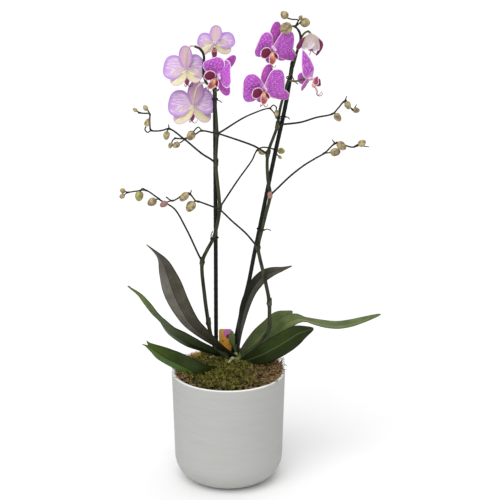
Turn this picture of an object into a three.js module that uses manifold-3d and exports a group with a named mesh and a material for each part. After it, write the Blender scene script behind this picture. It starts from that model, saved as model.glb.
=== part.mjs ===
// Potted moth orchid: a ceramic pot with liner, bark and moss, eight leaves round a short crown,
// and two staked flower spikes with side branches, buds and eight blooms.
// Millimetres, +Z up, the front at -Y. The origin is the centre of the pot's underside.
import * as THREE from 'three';
import { mergeVertices } from 'three/addons/utils/BufferGeometryUtils.js';
import Module from 'manifold-3d';

const wasm = await Module();
wasm.setup();

// Driving dimensions
const POT_HEIGHT = 140;
const POT_RADIUS = 70;
const POT_LOW_RADIUS = 67;
const POT_CORNER = 32;
const POT_WALL = 5;
const POT_FLOOR = 6;
const POT_EASE = 1.2;
const POT_SIDES = 32;
const GAP = 0.3;
const LINER_RIM = 131;
const LINER_RADIUS = 60;
const LINER_FOOT_RADIUS = 34.5;
const LINER_WALL = 1.2;
const LINER_SIDES = 24;
const MOSS_RADIUS = POT_RADIUS - POT_WALL - 0.9;
const MOSS_FLOOR_LIMIT = 136.5;
const MOSS_CROWN = 148.5;
const MOSS_DOME = 5.5;
const MOSS_SHOULDER = 4;
const MOSS_SHOULDER_FROM = 52;
const MOSS_RINGS = [12, 24, 36, 46, 54.5, 61, MOSS_RADIUS];
const MOSS_SIDES = 20;
const CROWN_AT = [10.5, 14];
const CROWN_RADIUS = 6.5;
const CROWN_TOP = 160;
const CROWN_FOOT = 112;
const CROWN_SIDES = 8;
const STAKE_RADIUS = 2.35;
const STAKE_FOOT = 25;
const SPIKE_RADIUS = 2.5;
const SPIKE_END_RADIUS = 1.5;
const SPIKE_SIDES = 6;
const SHEATH_RISE = 0.45;
const SHEATH_LEAST = 0.1;
const SHEATH_REACH = 7;
const SAMPLES_A_STEP = 26;
const BRANCH_RADIUS = 1.25;
const BRANCH_END_RADIUS = 0.9;
const BUD_STALK_RADIUS = 0.75;
const BUD_SIDES = 5;
const BLOOM_STALK_RADIUS = 1.3;
const ROOT_RADIUS = 2.2;
const ROOT_END_RADIUS = 1.3;
const LEAF_THICKNESS = 1.6;
const LEAF_GRID = [7, 4];
const TEPAL_THICKNESS = 0.8;
const SEPAL_GRID = [3, 2];
const PETAL_GRID = [3, 4];
const SEPAL_STEP = -0.7;
const PETAL_STEP = 0.9;
const LIP_THICKNESS = 0.9;
const LIP_GRID = [2, 12];
const LIP_SWEEP = 122;
const LIP_LOBE_ANGLE = 95;
const LIP_REACH = 16;
const LIP_ROOT = 0.1;
const LIP_FOOT = [-4.4, 5];
const LIP_MIDDLE = [0, -0.78, 0.62];
const TIE_WIRE = 0.6;
const TIE_SLACK = 0.5;
const CARD_SIZE = [13, 0.8, 62];
const CARD_AT = [-5.5, 31];
const CARD_TOP = 183.5;

const vec = (p) => new THREE.Vector3(...p);

// A named colour and surface for each kind of piece
const finish = (color, roughness, metalness = 0) => ({ color, roughness, metalness });
const FINISHES = {
  ceramic: finish(0xbdbdb8, 0.75),
  liner: finish(0x3a3a38, 0.5),
  bark: finish(0x5a4030, 0.95),
  moss: finish(0x757a38, 1),
  crown: finish(0x5c6c3c, 0.7),
  leafGreen: finish(0x34502a, 0.45),
  leafDark: finish(0x33402c, 0.45),
  leafOlive: finish(0x66743f, 0.5),
  leafPurple: finish(0x5e5048, 0.5),
  root: finish(0xc2c0a4, 0.8),
  stake: finish(0x20261f, 0.5),
  spike: finish(0x565c40, 0.55),
  branch: finish(0x4a4232, 0.6),
  petalBack: finish(0xd6a9d8, 0.6),
  petalFront: finish(0xb44cc4, 0.6),
  petalHalfOpen: finish(0xe6dcd6, 0.6),
  lip: finish(0x8a1648, 0.5),
  tie: finish(0x191b18, 0.6),
  card: finish(0xe2a840, 0.5),
};

// Turns a closed geometry into a solid that can be joined and cut
function solidOf(geometry) {
  const bare = geometry.clone();
  bare.deleteAttribute('normal');
  bare.deleteAttribute('uv');
  const merged = mergeVertices(bare, 1e-4);
  return new wasm.Manifold(new wasm.Mesh({
    numProp: 3,
    vertProperties: new Float32Array(merged.attributes.position.array),
    triVerts: new Uint32Array(merged.index.array),
  }));
}

// Turns a solid back into a geometry
function geometryOf(solid) {
  const mesh = solid.getMesh();
  const geometry = new THREE.BufferGeometry();
  geometry.setAttribute('position', new THREE.BufferAttribute(mesh.vertProperties, 3));
  geometry.setIndex(new THREE.BufferAttribute(mesh.triVerts, 1));
  return geometry;
}

const joined = (solids) => solids.reduce((whole, next) => whole.add(next));
const cutClear = (solid, neighbours) => neighbours.reduce((rest, next) => rest.subtract(next), solid);

function geometryFrom(positions, triangles) {
  const geometry = new THREE.BufferGeometry();
  geometry.setAttribute('position', new THREE.Float32BufferAttribute(positions.flat(), 3));
  geometry.setIndex(triangles.flat());
  return geometry;
}

// A turned solid about the vertical axis through (x, y); the profile runs from axis to axis
function turned(profile, sides, [x, y] = [0, 0]) {
  const geometry = new THREE.LatheGeometry(profile.map(([r, z]) => new THREE.Vector2(r, z)), sides);
  geometry.rotateX(Math.PI / 2);
  geometry.translate(x, y, 0);
  return solidOf(geometry);
}

// Points of a round corner, from one angle in degrees to another
function corner([cx, cz], radius, from, to, steps) {
  return Array.from({ length: steps + 1 }, (_, k) => {
    const angle = THREE.MathUtils.degToRad(from + ((to - from) * k) / steps);
    return [cx + radius * Math.cos(angle), cz + radius * Math.sin(angle)];
  });
}

// A round tube through given centres, with its own radius at each
function tube(centres, radii, sides) {
  const last = centres.length - 1;
  const across = new THREE.Vector3();
  const positions = centres.flatMap((centre, i) => {
    const along = centres[Math.min(i + 1, last)].clone().sub(centres[Math.max(i - 1, 0)]).normalize();
    if (i === 0) across.set(along.z, along.x, along.y);
    across.addScaledVector(along, -across.dot(along)).normalize();
    const third = along.clone().cross(across);
    return Array.from({ length: sides }, (_, j) => {
      const angle = (2 * Math.PI * j) / sides;
      return centre.clone()
        .addScaledVector(across, radii[i] * Math.cos(angle))
        .addScaledVector(third, radii[i] * Math.sin(angle))
        .toArray();
    });
  });
  const root = positions.push(centres[0].toArray()) - 1;
  const tip = positions.push(centres[last].toArray()) - 1;
  const end = last * sides;
  const triangles = [];
  for (let j = 0; j < sides; j += 1) {
    const next = (j + 1) % sides;
    for (let i = 0; i < end; i += sides) {
      triangles.push([i + j, i + next, i + sides + j]);
      triangles.push([i + next, i + sides + next, i + sides + j]);
    }
    triangles.push([root, next, j]);
    triangles.push([tip, end + j, end + next]);
  }
  return solidOf(geometryFrom(positions, triangles));
}

const smoothPath = (points) => new THREE.CatmullRomCurve3(points.map(vec), false, 'centripetal');

// A round stalk along a smooth line; radiusAt gives its radius from 0, the root, to 1, the tip
function stalk(points, radiusAt, sides, steps) {
  const centres = smoothPath(points).getSpacedPoints(steps);
  return tube(centres, centres.map((_, i) => radiusAt(i / steps)), sides);
}

const even = (radius) => () => radius;
const tapering = (from, to) => (t) => THREE.MathUtils.lerp(from, to, t);

// A stalk that ends in a swelling, such as a bud: its profile gives radius and place along the last line
function swelling(points, radius, centre, axis, profile, sides, grow = 0) {
  const foot = centre.clone().addScaledVector(axis, profile[0][1]);
  const line = smoothPath([...points, foot.toArray()]).getSpacedPoints(points.length);
  line.pop();
  return tube(
    [...line, ...profile.map(([, z]) => centre.clone().addScaledVector(axis, z))],
    [...line.map(() => radius + grow), ...profile.map(([r]) => r + grow)],
    sides,
  );
}

// A thin blade over a grid: surfaceAt(t, s) is its middle surface, t from root to tip and s from -1 to 1
function blade(surfaceAt, thickness, along, across) {
  const step = 1e-3;
  const faces = [[], []];
  for (let i = 0; i <= along; i += 1) {
    const t = 1 - (1 - i / along) ** 1.3;
    for (let j = 0; j <= across; j += 1) {
      const s = (2 * j) / across - 1;
      const point = surfaceAt(t, s);
      const inner = s * 0.98;
      const lengthwise = surfaceAt(Math.min(t + step, 1), inner).sub(surfaceAt(Math.max(t - step, 0), inner));
      const crosswise = surfaceAt(t, s + step).sub(surfaceAt(t, s - step));
      const normal = lengthwise.cross(crosswise).normalize();
      faces[0].push(point.clone().addScaledVector(normal, thickness / 2).toArray());
      faces[1].push(point.clone().addScaledVector(normal, -thickness / 2).toArray());
    }
  }
  const row = across + 1;
  const under = faces[0].length;
  const triangles = [];
  for (let i = 0; i < along; i += 1) {
    for (let j = 0; j < across; j += 1) {
      const a = i * row + j;
      const b = a + row;
      triangles.push([a, b, a + 1], [b, b + 1, a + 1]);
      triangles.push([under + a, under + a + 1, under + b], [under + b, under + a + 1, under + b + 1]);
    }
    const low = i * row;
    const high = low + across;
    triangles.push([low, under + low, under + low + row], [low, under + low + row, low + row]);
    triangles.push([high, under + high + row, under + high], [high, high + row, under + high + row]);
  }
  const end = along * row;
  for (let j = 0; j < across; j += 1) {
    triangles.push([j, j + 1, under + j + 1], [j, under + j + 1, under + j]);
    const tip = end + j;
    triangles.push([tip, under + tip + 1, tip + 1], [tip, under + tip, under + tip + 1]);
  }
  return solidOf(geometryFrom([...faces[0], ...faces[1]], triangles));
}

// Half-width of a blade as a share of its widest: a root that widens up to full, then a rounded tip
const outline = (root, full, tip) => (t) => {
  const widening = root + (1 - root) * Math.sin((Math.min(1, t / full) * Math.PI) / 2);
  const past = Math.max(0, (t - full) / (1 - full));
  return widening * Math.sqrt(1 - (1 - tip * tip) * past * past);
};
const OUTLINES = {
  leaf: outline(0.3, 0.55, 0.12),
  sepal: outline(0.2, 0.5, 0.26),
  petal: outline(0.12, 0.55, 0.42),
};

// A flat-rooted petal from root to tip that faces one way, with its middle arched and its edges cupped
function petal({ root, tip, face, width, shape, arch = 0, cup = 0, thickness, grid, grow = 0 }) {
  const along = tip.clone().sub(root);
  const length = along.length();
  along.normalize();
  const front = face.clone().addScaledVector(along, -face.dot(along)).normalize();
  const side = front.clone().cross(along);
  const surfaceAt = (t, s) => {
    const half = (width / 2) * OUTLINES[shape](t) + grow;
    return root.clone()
      .addScaledVector(along, length * t)
      .addScaledVector(side, half * s)
      .addScaledVector(front, arch * length * 4 * t * (1 - t) + cup * half * s * s);
  };
  return blade(surfaceAt, thickness + 2 * grow, ...grid);
}

// A leaf along its midrib, folded up on both sides of it by fold; sides are directions across it, root to tip
function leafBlade({ midrib, width, sides, fold }, grow = 0) {
  const path = smoothPath(midrib);
  const across = sides.map(vec);
  const surfaceAt = (t, s) => {
    const tangent = path.getTangentAt(t);
    const stretch = Math.min(Math.floor(t * (across.length - 1)), across.length - 2);
    const side = across[stretch].clone().lerp(across[stretch + 1], t * (across.length - 1) - stretch);
    side.addScaledVector(tangent, -side.dot(tangent)).normalize();
    const up = tangent.clone().cross(side);
    const half = (width / 2) * OUTLINES.leaf(t) + grow;
    return path.getPointAt(t).addScaledVector(side, half * s).addScaledVector(up, half * fold * Math.abs(s));
  };
  return blade(surfaceAt, LEAF_THICKNESS + 2 * grow, ...LEAF_GRID);
}

// A bud on its stalk, with its point away from it; its profile is in shares of its radius and half-length
const BUD_PROFILE = [[0.35, -1], [1, -0.35], [0.85, 0.35], [0.15, 1]];
function bud({ at, stalk: line, size: [radius, half] }) {
  const profile = BUD_PROFILE.map(([r, z]) => [r * radius, z * half]);
  const axis = vec(at).sub(vec(line[line.length - 1])).normalize();
  return swelling(line, BUD_STALK_RADIUS, vec(at), axis, profile, BUD_SIDES);
}

// The pot: a flat base, a large round corner and a nearly straight wall with a softened rim
function pot() {
  const foot = POT_LOW_RADIUS - POT_CORNER;
  const inner = POT_CORNER - POT_WALL;
  return turned([
    [0, 0],
    ...corner([foot, POT_CORNER], POT_CORNER, -90, 0, 5),
    [POT_RADIUS, POT_HEIGHT - POT_EASE],
    [POT_RADIUS - POT_EASE, POT_HEIGHT],
    [POT_RADIUS - POT_WALL + POT_EASE, POT_HEIGHT],
    [POT_RADIUS - POT_WALL, POT_HEIGHT - POT_EASE],
    ...corner([foot, POT_FLOOR + inner], inner, 0, -90, 3),
    [0, POT_FLOOR],
  ], POT_SIDES);
}

const linerRadiusAt = (z) => {
  return THREE.MathUtils.mapLinear(z, POT_FLOOR, LINER_RIM, LINER_FOOT_RADIUS, LINER_RADIUS);
};

// The thin growing pot inside, standing on the ceramic floor
function liner() {
  const foot = POT_FLOOR + GAP;
  const floor = foot + LINER_WALL;
  return turned([
    [0, foot],
    [linerRadiusAt(foot), foot],
    [linerRadiusAt(LINER_RIM), LINER_RIM],
    [linerRadiusAt(LINER_RIM) - LINER_WALL, LINER_RIM],
    [linerRadiusAt(floor) - LINER_WALL, floor],
    [0, floor],
  ], LINER_SIDES);
}

// The bark and roots that fill the liner
function barkMix() {
  const inset = LINER_WALL + GAP;
  const low = POT_FLOOR + LINER_WALL + 2 * GAP;
  const high = LINER_RIM - GAP;
  return turned([
    [0, low],
    [linerRadiusAt(low) - inset, low],
    [linerRadiusAt(high) - inset, high],
    [0, high],
  ], LINER_SIDES);
}

// The moss: a low dome with soft lumps that drops to its edge inside the rim
function moss() {
  const rings = MOSS_RINGS;
  const count = MOSS_SIDES;
  const heightAt = (r, angle) => {
    const dome = MOSS_CROWN - MOSS_DOME * (r / MOSS_RADIUS) ** 2;
    const shoulder = MOSS_SHOULDER * THREE.MathUtils.smoothstep(r, MOSS_SHOULDER_FROM, MOSS_RADIUS) ** 2;
    const x = r * Math.cos(angle);
    const y = r * Math.sin(angle);
    const coarse = 1.3 * Math.sin(x * 0.21 + 1.1) * Math.cos(y * 0.24);
    const lumps = coarse + 0.9 * Math.sin(x * 0.47 - y * 0.39);
    return Math.max(dome - shoulder + lumps, MOSS_FLOOR_LIMIT);
  };
  const positions = [[0, 0, heightAt(0, 0)]];
  rings.forEach((r) => {
    for (let k = 0; k < count; k += 1) {
      const angle = (2 * Math.PI * k) / count;
      positions.push([r * Math.cos(angle), r * Math.sin(angle), heightAt(r, angle)]);
    }
  });
  const floor = LINER_RIM + GAP;
  const edge = 1 + (rings.length - 1) * count;
  for (let k = 0; k < count; k += 1) {
    const [x, y] = positions[edge + k];
    positions.push([x, y, floor]);
  }
  const centre = positions.push([0, 0, floor]) - 1;
  const triangles = [];
  for (let k = 0; k < count; k += 1) {
    const next = (k + 1) % count;
    triangles.push([0, 1 + k, 1 + next]);
    for (let ring = 1; ring <= rings.length * count - count + 1; ring += count) {
      triangles.push([ring + k, ring + count + k, ring + count + next]);
      triangles.push([ring + k, ring + count + next, ring + next]);
    }
    triangles.push([centre, edge + count + next, edge + count + k]);
  }
  return solidOf(geometryFrom(positions, triangles));
}

// The short stem in the middle, from the bark to the youngest leaf
function crown(grow = 0) {
  return turned([
    [0, CROWN_FOOT - grow],
    [CROWN_RADIUS + 1 + grow, CROWN_FOOT - grow],
    [CROWN_RADIUS + grow, CROWN_TOP - 10],
    [CROWN_RADIUS * 0.6 + grow, CROWN_TOP - 2],
    [0, CROWN_TOP + grow],
  ], CROWN_SIDES, CROWN_AT);
}

// Stakes: their axis from the bark to the top
const STAKES = {
  left: [[-15.5, 16, STAKE_FOOT], [-15.3, 16, 165], [-15, 16, 330], [-15, 16, 492]],
  right: [[-14, 26, STAKE_FOOT], [2.5, 26, 140], [11.5, 25.5, 186], [18.3, 25, 218], [25, 24.5, 246],
    [32, 24, 284], [37.8, 23, 313.5], [46.8, 22, 360.5], [57.5, 21, 414.5], [69.5, 20, 473], [77, 20, 521.5]],
};
const stake = (name, grow = 0) => stalk(STAKES[name], even(STAKE_RADIUS + grow), 8, name === 'left' ? 3 : 10);

// Flower spikes: their axis from the crown to the last bloom or bud, with a sheath at each node
const SPIKES = {
  left: {
    route: [[3, 10, 150], [-6, 8, 158.5], [-15.5, 6, 167], [-21, 7, 181.5], [-24.5, 9, 200], [-29, 10, 235],
      [-31.5, 10.5, 277.5], [-25.5, 10.5, 292.5], [-18, 10.5, 307], [-13, 10.5, 324.5], [-10, 10.5, 346],
      [-14, 10.5, 401.5], [-12.5, 10.5, 437.5], [-15, 10.5, 478.5], [-17.5, 9, 494.5], [-24, 8, 499],
      [-27.5, 8, 508], [-28, 8, 520], [-27.5, 8, 532.5], [-31.5, 8, 540], [-37.5, 8, 543]],
    sheaths: [[-24.5, 9, 200], [-31.5, 10.5, 277.5], [-10, 10.5, 346], [-14, 10.5, 401.5],
      [-12.5, 10.5, 437.5]],
    steps: 24,
  },
  right: {
    route: [[16, 12, 150], [24, 8, 158], [33.5, 4, 167], [41, 1, 180], [49.5, -1, 194], [50.5, -1, 213],
      [50, 0, 231], [46, 2, 252.5], [43, 5, 265.5], [38.5, 11, 283], [36.5, 15, 295], [40.5, 17.5, 313.5],
      [46, 16.5, 337], [51, 15.5, 360.5], [48, 14, 382], [48, 14, 412], [54.5, 14, 432], [59.5, 14, 446.5],
      [61, 14, 459.5], [64, 14, 474], [72, 13.5, 502], [78, 14, 520], [82.5, 14, 537.5], [86, 12.5, 551],
      [84.5, 6.5, 560], [83, 4, 563]],
    sheaths: [[50, 0, 229], [36.5, 15, 295], [51, 15.5, 360.5], [48, 14, 412], [59.5, 14, 446.5]],
    steps: 26,
  },
};

// A spike is one tube; at each node it has a short sheath, a step at its foot that fades upwards
function spike(name, grow = 0) {
  const samples = smoothPath(SPIKES[name].route).getSpacedPoints(SPIKES[name].steps * SAMPLES_A_STEP);
  const nodes = SPIKES[name].sheaths.map((place) => {
    const distances = samples.map((point) => point.distanceTo(vec(place)));
    return distances.indexOf(Math.min(...distances));
  });
  const bump = (index) => Math.max(0, ...nodes.map((node) => {
    const past = index - node;
    const rise = SHEATH_RISE * (1 - past / SHEATH_REACH) + SHEATH_LEAST;
    return past < -SHEATH_REACH || past > SHEATH_REACH ? 0 : rise;
  }));
  const stations = samples.map((_, index) => index).filter((index) => index % SAMPLES_A_STEP === 0
    || nodes.some((node) => [-SHEATH_REACH - 1, -SHEATH_REACH, SHEATH_REACH].includes(index - node)));
  const last = samples.length - 1;
  const radiusAt = tapering(SPIKE_RADIUS, SPIKE_END_RADIUS);
  const radii = stations.map((index) => radiusAt((index / last) ** 1.3) + bump(index) + grow);
  return tube(stations.map((index) => samples[index]), radii, SPIKE_SIDES);
}

// Side branches with their buds. A bud gives its centre, its stalk's line, its radius and its half-length
const SPRAYS = {
  left_1: {
    branch: [[-31.5, 10.5, 277.5], [-36, 13, 286], [-50.5, 20, 316], [-64.5, 26, 339.5], [-73, 28, 345.5],
      [-81.5, 29, 350], [-87.5, 30, 354.5], [-100, 32, 362], [-111, 34, 360.5], [-123.5, 36, 358]],
    buds: [
      { at: [-128.5, 36, 360.5], stalk: [[-122, 36, 358.2]], size: [3.2, 3.4] },
      { at: [-129, 34, 354], stalk: [[-122.5, 35.8, 358]], size: [3.2, 3.4] },
      { at: [-108, 32, 354.5], stalk: [[-100, 32, 362], [-103.5, 31.5, 364.5], [-106.5, 31.5, 362]],
        size: [5.3, 6.2] },
      { at: [-92.5, 29, 348], stalk: [[-84, 29.5, 352], [-87, 28.5, 351.5]], size: [5, 6] },
    ],
  },
  left_2: {
    branch: [[-10, 10.5, 346], [-4, 12.5, 355], [12, 20, 378], [29, 28, 400.5], [35, 31, 412],
      [41, 32, 415.5], [48.5, 33, 415], [57, 32, 413]],
    buds: [
      { at: [41, 30, 410], stalk: [[35.5, 31, 412.5]], size: [3.2, 4.2] },
      { at: [64.5, 31, 411.5], stalk: [[56, 32, 413.2]], size: [3.9, 4.2] },
      { at: [63, 31.5, 403.5], stalk: [[57, 32, 413], [59.5, 32, 406.5]], size: [2, 2.6] },
    ],
  },
  left_3: {
    branch: [[-14, 10.5, 401.5], [-21, 8.5, 407.5], [-29.5, 6, 413.5], [-50.5, -4, 434], [-68.5, -12, 449],
      [-75.5, -15, 448], [-82.5, -17, 447.5], [-89.5, -19, 449], [-90.5, -20, 456.5], [-90.5, -21, 463],
      [-90.5, -23, 469.5], [-97, -25, 470.5], [-103, -26, 471.5]],
    buds: [
      { at: [-71.5, -13, 441], stalk: [[-68.5, -12, 449], [-70.5, -12.5, 447]], size: [4, 5] },
      { at: [-93.3, -22.5, 459], stalk: [[-89.5, -19, 448.5], [-93.5, -20, 446.5], [-96.3, -21.5, 450.5]],
        size: [3.3, 5] },
      { at: [-95, -25, 477], stalk: [[-90.5, -23, 469], [-91.5, -24, 472.5]], size: [3, 3.5] },
      { at: [-107, -27, 475], stalk: [[-102, -26, 471.3]], size: [2.3, 3] },
    ],
    spurs: [[[-68.5, -12, 448], [-69, -12, 454]]],
  },
  left_4: {
    branch: [[-12.5, 10.5, 437.5], [-6.5, 12, 440.5], [18.5, 14, 456], [34, 12, 463.5], [44.5, 9, 468],
      [51, 7, 469.5]],
    buds: [
      { at: [58, 4.5, 463.5], stalk: [[50, 7.2, 469.3], [54.5, 6, 473.5], [57.8, 5, 471]], size: [2.7, 4.4] },
    ],
    spurs: [[[50, 7.2, 469.3], [54.5, 5, 465], [57, 3, 459.5]]],
  },
  right_1: {
    branch: [[36.5, 15, 295], [31.5, 12, 301.5], [22, 9, 314], [5, 5, 331], [-10, 3, 346],
      [-16.5, 1, 349.5], [-33, -8, 358.5], [-38, -10, 360.5], [-45, -11, 369], [-52, -12, 369.5],
      [-59, -15, 365], [-66, -17, 362.5], [-72.5, -19, 367.5]],
    buds: [
      { at: [-44, -12, 354], stalk: [[-35, -8.8, 359.2], [-39.5, -11, 360]], size: [5.8, 7] },
      { at: [-51.5, -16, 367], stalk: [[-44, -11, 369], [-46.5, -13.5, 371.5]], size: [4.6, 6.6] },
      { at: [-76, -18, 358.5], stalk: [[-65.5, -17, 362.6], [-70.5, -17, 361.5]], size: [3.9, 4.8] },
    ],
    spurs: [[[-44.5, -11, 368.5], [-43, -11, 374]]],
  },
  right_2: {
    branch: [[51, 15.5, 360.5], [58, 11, 368.5], [74, 4, 386.5], [90.5, -3, 402], [104, -8, 412],
      [115, -11, 419.5], [127, -13, 431.5], [133, -15, 432.5], [140, -18, 430], [148, -21, 429],
      [152.5, -23, 432]],
    buds: [
      { at: [127.5, -14.5, 421.5], stalk: [[114, -11, 419], [120, -12, 420]], size: [5, 6] },
      { at: [134.5, -16.5, 429.5], stalk: [[126, -13, 431], [129.5, -14.5, 433.5]], size: [5, 6.2] },
      { at: [158, -24, 434.5], stalk: [[150, -22, 430], [153, -23.5, 431]], size: [4.2, 4.8] },
    ],
    spurs: [[[127, -13, 431], [123.5, -13, 436]], [[156, -23.5, 432], [166, -26, 430.5]]],
  },
  right_3: {
    branch: [[48, 14, 412], [41, 11, 417], [31.5, 9, 423], [3, 5, 434.5], [-10.5, 3, 439.3],
      [-17.5, 2, 441], [-31, 3, 443], [-38, 7, 438], [-50, 12, 431.5], [-63.5, 17, 430.5]],
    buds: [
      { at: [-43.5, 6, 436.3], stalk: [[-30, 3, 443], [-34.5, 2.5, 447.5], [-39, 4.5, 443.5]],
        size: [5.2, 6.2] },
      { at: [-61.5, 15, 422.8], stalk: [[-50, 12, 431.2], [-54.5, 13, 427.5]], size: [3.8, 4.7] },
      { at: [-68.5, 18, 421.5], stalk: [[-62.5, 16.8, 430.4], [-66, 18, 427.5]], size: [2.8, 3.8] },
    ],
  },
  right_4: {
    branch: [[59.5, 14, 446.5], [63.5, 12.3, 448.5], [69, 12.3, 449], [87.5, 18, 450], [105.5, 25, 454],
      [126, 31, 457.5], [132.5, 32.5, 464], [140, 34, 471.5], [146.5, 35, 464.5], [151, 37, 460]],
    buds: [
      { at: [132, 31, 453], stalk: [[125, 31, 457.2], [128.5, 31, 458]], size: [4.4, 5.5] },
      { at: [144, 34, 467], stalk: [[139, 34, 471], [141.5, 34, 474]], size: [3.9, 5] },
      { at: [154.5, 38, 460], stalk: [[149.5, 36.5, 460.8]], size: [3.5, 4.2] },
    ],
    spurs: [[[139.8, 34, 471.5], [142.5, 35, 478]], [[153.5, 37.5, 461], [154.5, 38, 467]]],
  },
  right_top: {
    branch: [[82.8, 3.7, 563.3], [81, 1, 566], [77.5, -4, 569], [73, -10, 570]],
    buds: [
      { at: [68, -14, 568.5], stalk: [[74, -9, 569.8]], size: [7, 7.4] },
      { at: [66.5, -8, 583], stalk: [[78, -3.5, 568.7], [82, -1, 572], [82, -1.5, 576], [76, -4, 577],
        [70.5, -7, 579]], size: [4.7, 4.9] },
      { at: [91, 7, 571.5], stalk: [[81.5, -1, 571], [86, 3, 572.5]], size: [5.6, 6.2] },
      { at: [85.5, 1, 578.5], stalk: [[82, -1.2, 574]], size: [2.4, 2.7] },
    ],
  },
};

// The nearest point on a line of straight stretches
function nearestOn(centres, point) {
  const stretches = centres.slice(1).map((centre, k) => new THREE.Line3(centres[k], centre));
  const place = vec(point);
  const found = stretches.map((stretch) => stretch.closestPointToPoint(place, true, new THREE.Vector3()));
  const distances = found.map((candidate) => candidate.distanceTo(place));
  return found[distances.indexOf(Math.min(...distances))].toArray();
}

function spray({ branch, buds, spurs = [] }) {
  const steps = branch.length;
  const centres = smoothPath(branch).getSpacedPoints(steps);
  const rooted = (line) => [nearestOn(centres, line[0]), ...line.slice(1)];
  return joined([
    tube(centres, centres.map((_, k) => tapering(BRANCH_RADIUS, BRANCH_END_RADIUS)(k / steps)), 5),
    ...buds.map((spec) => bud({ ...spec, stalk: rooted(spec.stalk) })),
    ...spurs.map((line) => stalk(rooted(line), tapering(1, 0.5), 4, line.length - 1)),
  ]);
}

// Leaves: the midrib from the crown to the tip, the directions across it in turn, and how far it is folded
const LEAVES = {
  i: {
    midrib: [[9.5, 14.5, 158], [6.5, 16, 164], [2.5, 17, 171], [4.5, 18, 186]],
    sides: [[0.6, -0.7, 0], [0.6, -0.7, 0]],
    width: 12,
    fold: 0.5,
    colour: 'leafOlive',
  },
  d: {
    midrib: [[11.5, 12, 157], [13, 10.5, 173], [15.5, 10, 190], [20, 11, 214], [25, 12, 229.5],
      [32, 13, 244.5], [38, 13.5, 252.5], [45, 13, 259], [55, 12, 264], [66, 11, 267.5], [78, 10, 272.5]],
    sides: [[-0.35, 0.93, 0], [-0.5, 0.8, 0.1], [-0.4, 0.65, 0.6], [-0.1, 0.95, 0.2]],
    width: 18,
    fold: 0.2,
    colour: 'leafDark',
  },
  a: {
    midrib: [[9, 11, 154], [-8, 4, 167], [-24.5, -4, 183], [-37, -11, 196.5], [-46.5, -17, 209],
      [-61, -28, 241], [-71, -37, 275], [-78, -41.5, 297], [-95.5, -46, 317]],
    sides: [[0.52, -0.76, 0.39], [0.78, -0.48, 0.4], [0.93, -0.2, 0.3], [0.4, -0.9, 0.1]],
    width: 27,
    fold: 0.15,
    colour: 'leafPurple',
  },
  e: {
    midrib: [[14, 18, 151], [26.5, 27, 163], [38, 31, 173], [51.5, 34, 185], [64, 37, 195.5],
      [80, 40, 203.5]],
    sides: [[-0.49, 0.76, 0.36], [-0.49, 0.76, 0.36]],
    width: 25,
    fold: 0.15,
    colour: 'leafOlive',
  },
  b: {
    midrib: [[5.5, 15, 150], [-8, 15, 154], [-30, 8, 165], [-45, 4, 173], [-58.5, 0, 182], [-71, -4, 192],
      [-82, -8, 206.5], [-92, -10.5, 218], [-101, -13, 232], [-108, -15, 243], [-121, -16, 255]],
    sides: [[0.45, -0.55, 0.7], [0.55, -0.45, 0.7], [0.3, -0.85, 0.35], [0.4, -0.8, 0.4]],
    width: 24,
    fold: 0.3,
    colour: 'leafGreen',
  },
  f: {
    midrib: [[16.5, 17.5, 151], [35, 13.5, 162], [49, 13, 173.5], [63, 12.5, 188], [74, 13, 198],
      [87, 13.5, 202.5], [102, 14.5, 198.5], [118, 15.5, 194.5], [134, 16.5, 192.5], [150, 17.5, 194.5],
      [165, 18, 199], [188, 16, 208]],
    sides: [[-0.3, 0.8, 0.45], [-0.4, 0.65, 0.65], [-0.35, 0.75, 0.5], [-0.2, 1, -0.04], [-0.1, 1, 0],
      [-0.1, 1, 0.08], [-0.1, 1, 0.15]],
    width: 27,
    fold: 0.12,
    colour: 'leafOlive',
  },
  g: {
    midrib: [[15, 8, 148], [29, -1, 156], [43, -9, 165], [57, -15, 175], [71.5, -21, 186.5], [86, -26, 198],
      [103.5, -30, 206]],
    sides: [[-0.35, 0.35, 0.87], [-0.35, 0.35, 0.87]],
    width: 27,
    fold: 0.1,
    colour: 'leafDark',
  },
  c: {
    midrib: [[5, 9, 150.5], [-14, -2, 153], [-32, -10, 152.5], [-47, -15, 153], [-61, -22, 159],
      [-75.5, -28, 167.5], [-86, -32, 177], [-99, -36, 188]],
    sides: [[0.35, -0.45, 0.8], [0.35, -0.35, 0.85]],
    width: 27,
    fold: 0.4,
    colour: 'leafGreen',
  },
};

const ROOTS = {
  left: [[3, 17, 152], [-6, 20, 157], [-14, 22, 152], [-24, 20, 148.5], [-34, 15, 147.5]],
  front: [[8, 9, 150], [5, 3, 155], [1, -2, 151.5], [-2, -6, 147]],
};
const aerialRoot = (name, grow = 0) => {
  return stalk(ROOTS[name], tapering(ROOT_RADIUS + grow, ROOT_END_RADIUS + grow), 6, 6);
};

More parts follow.
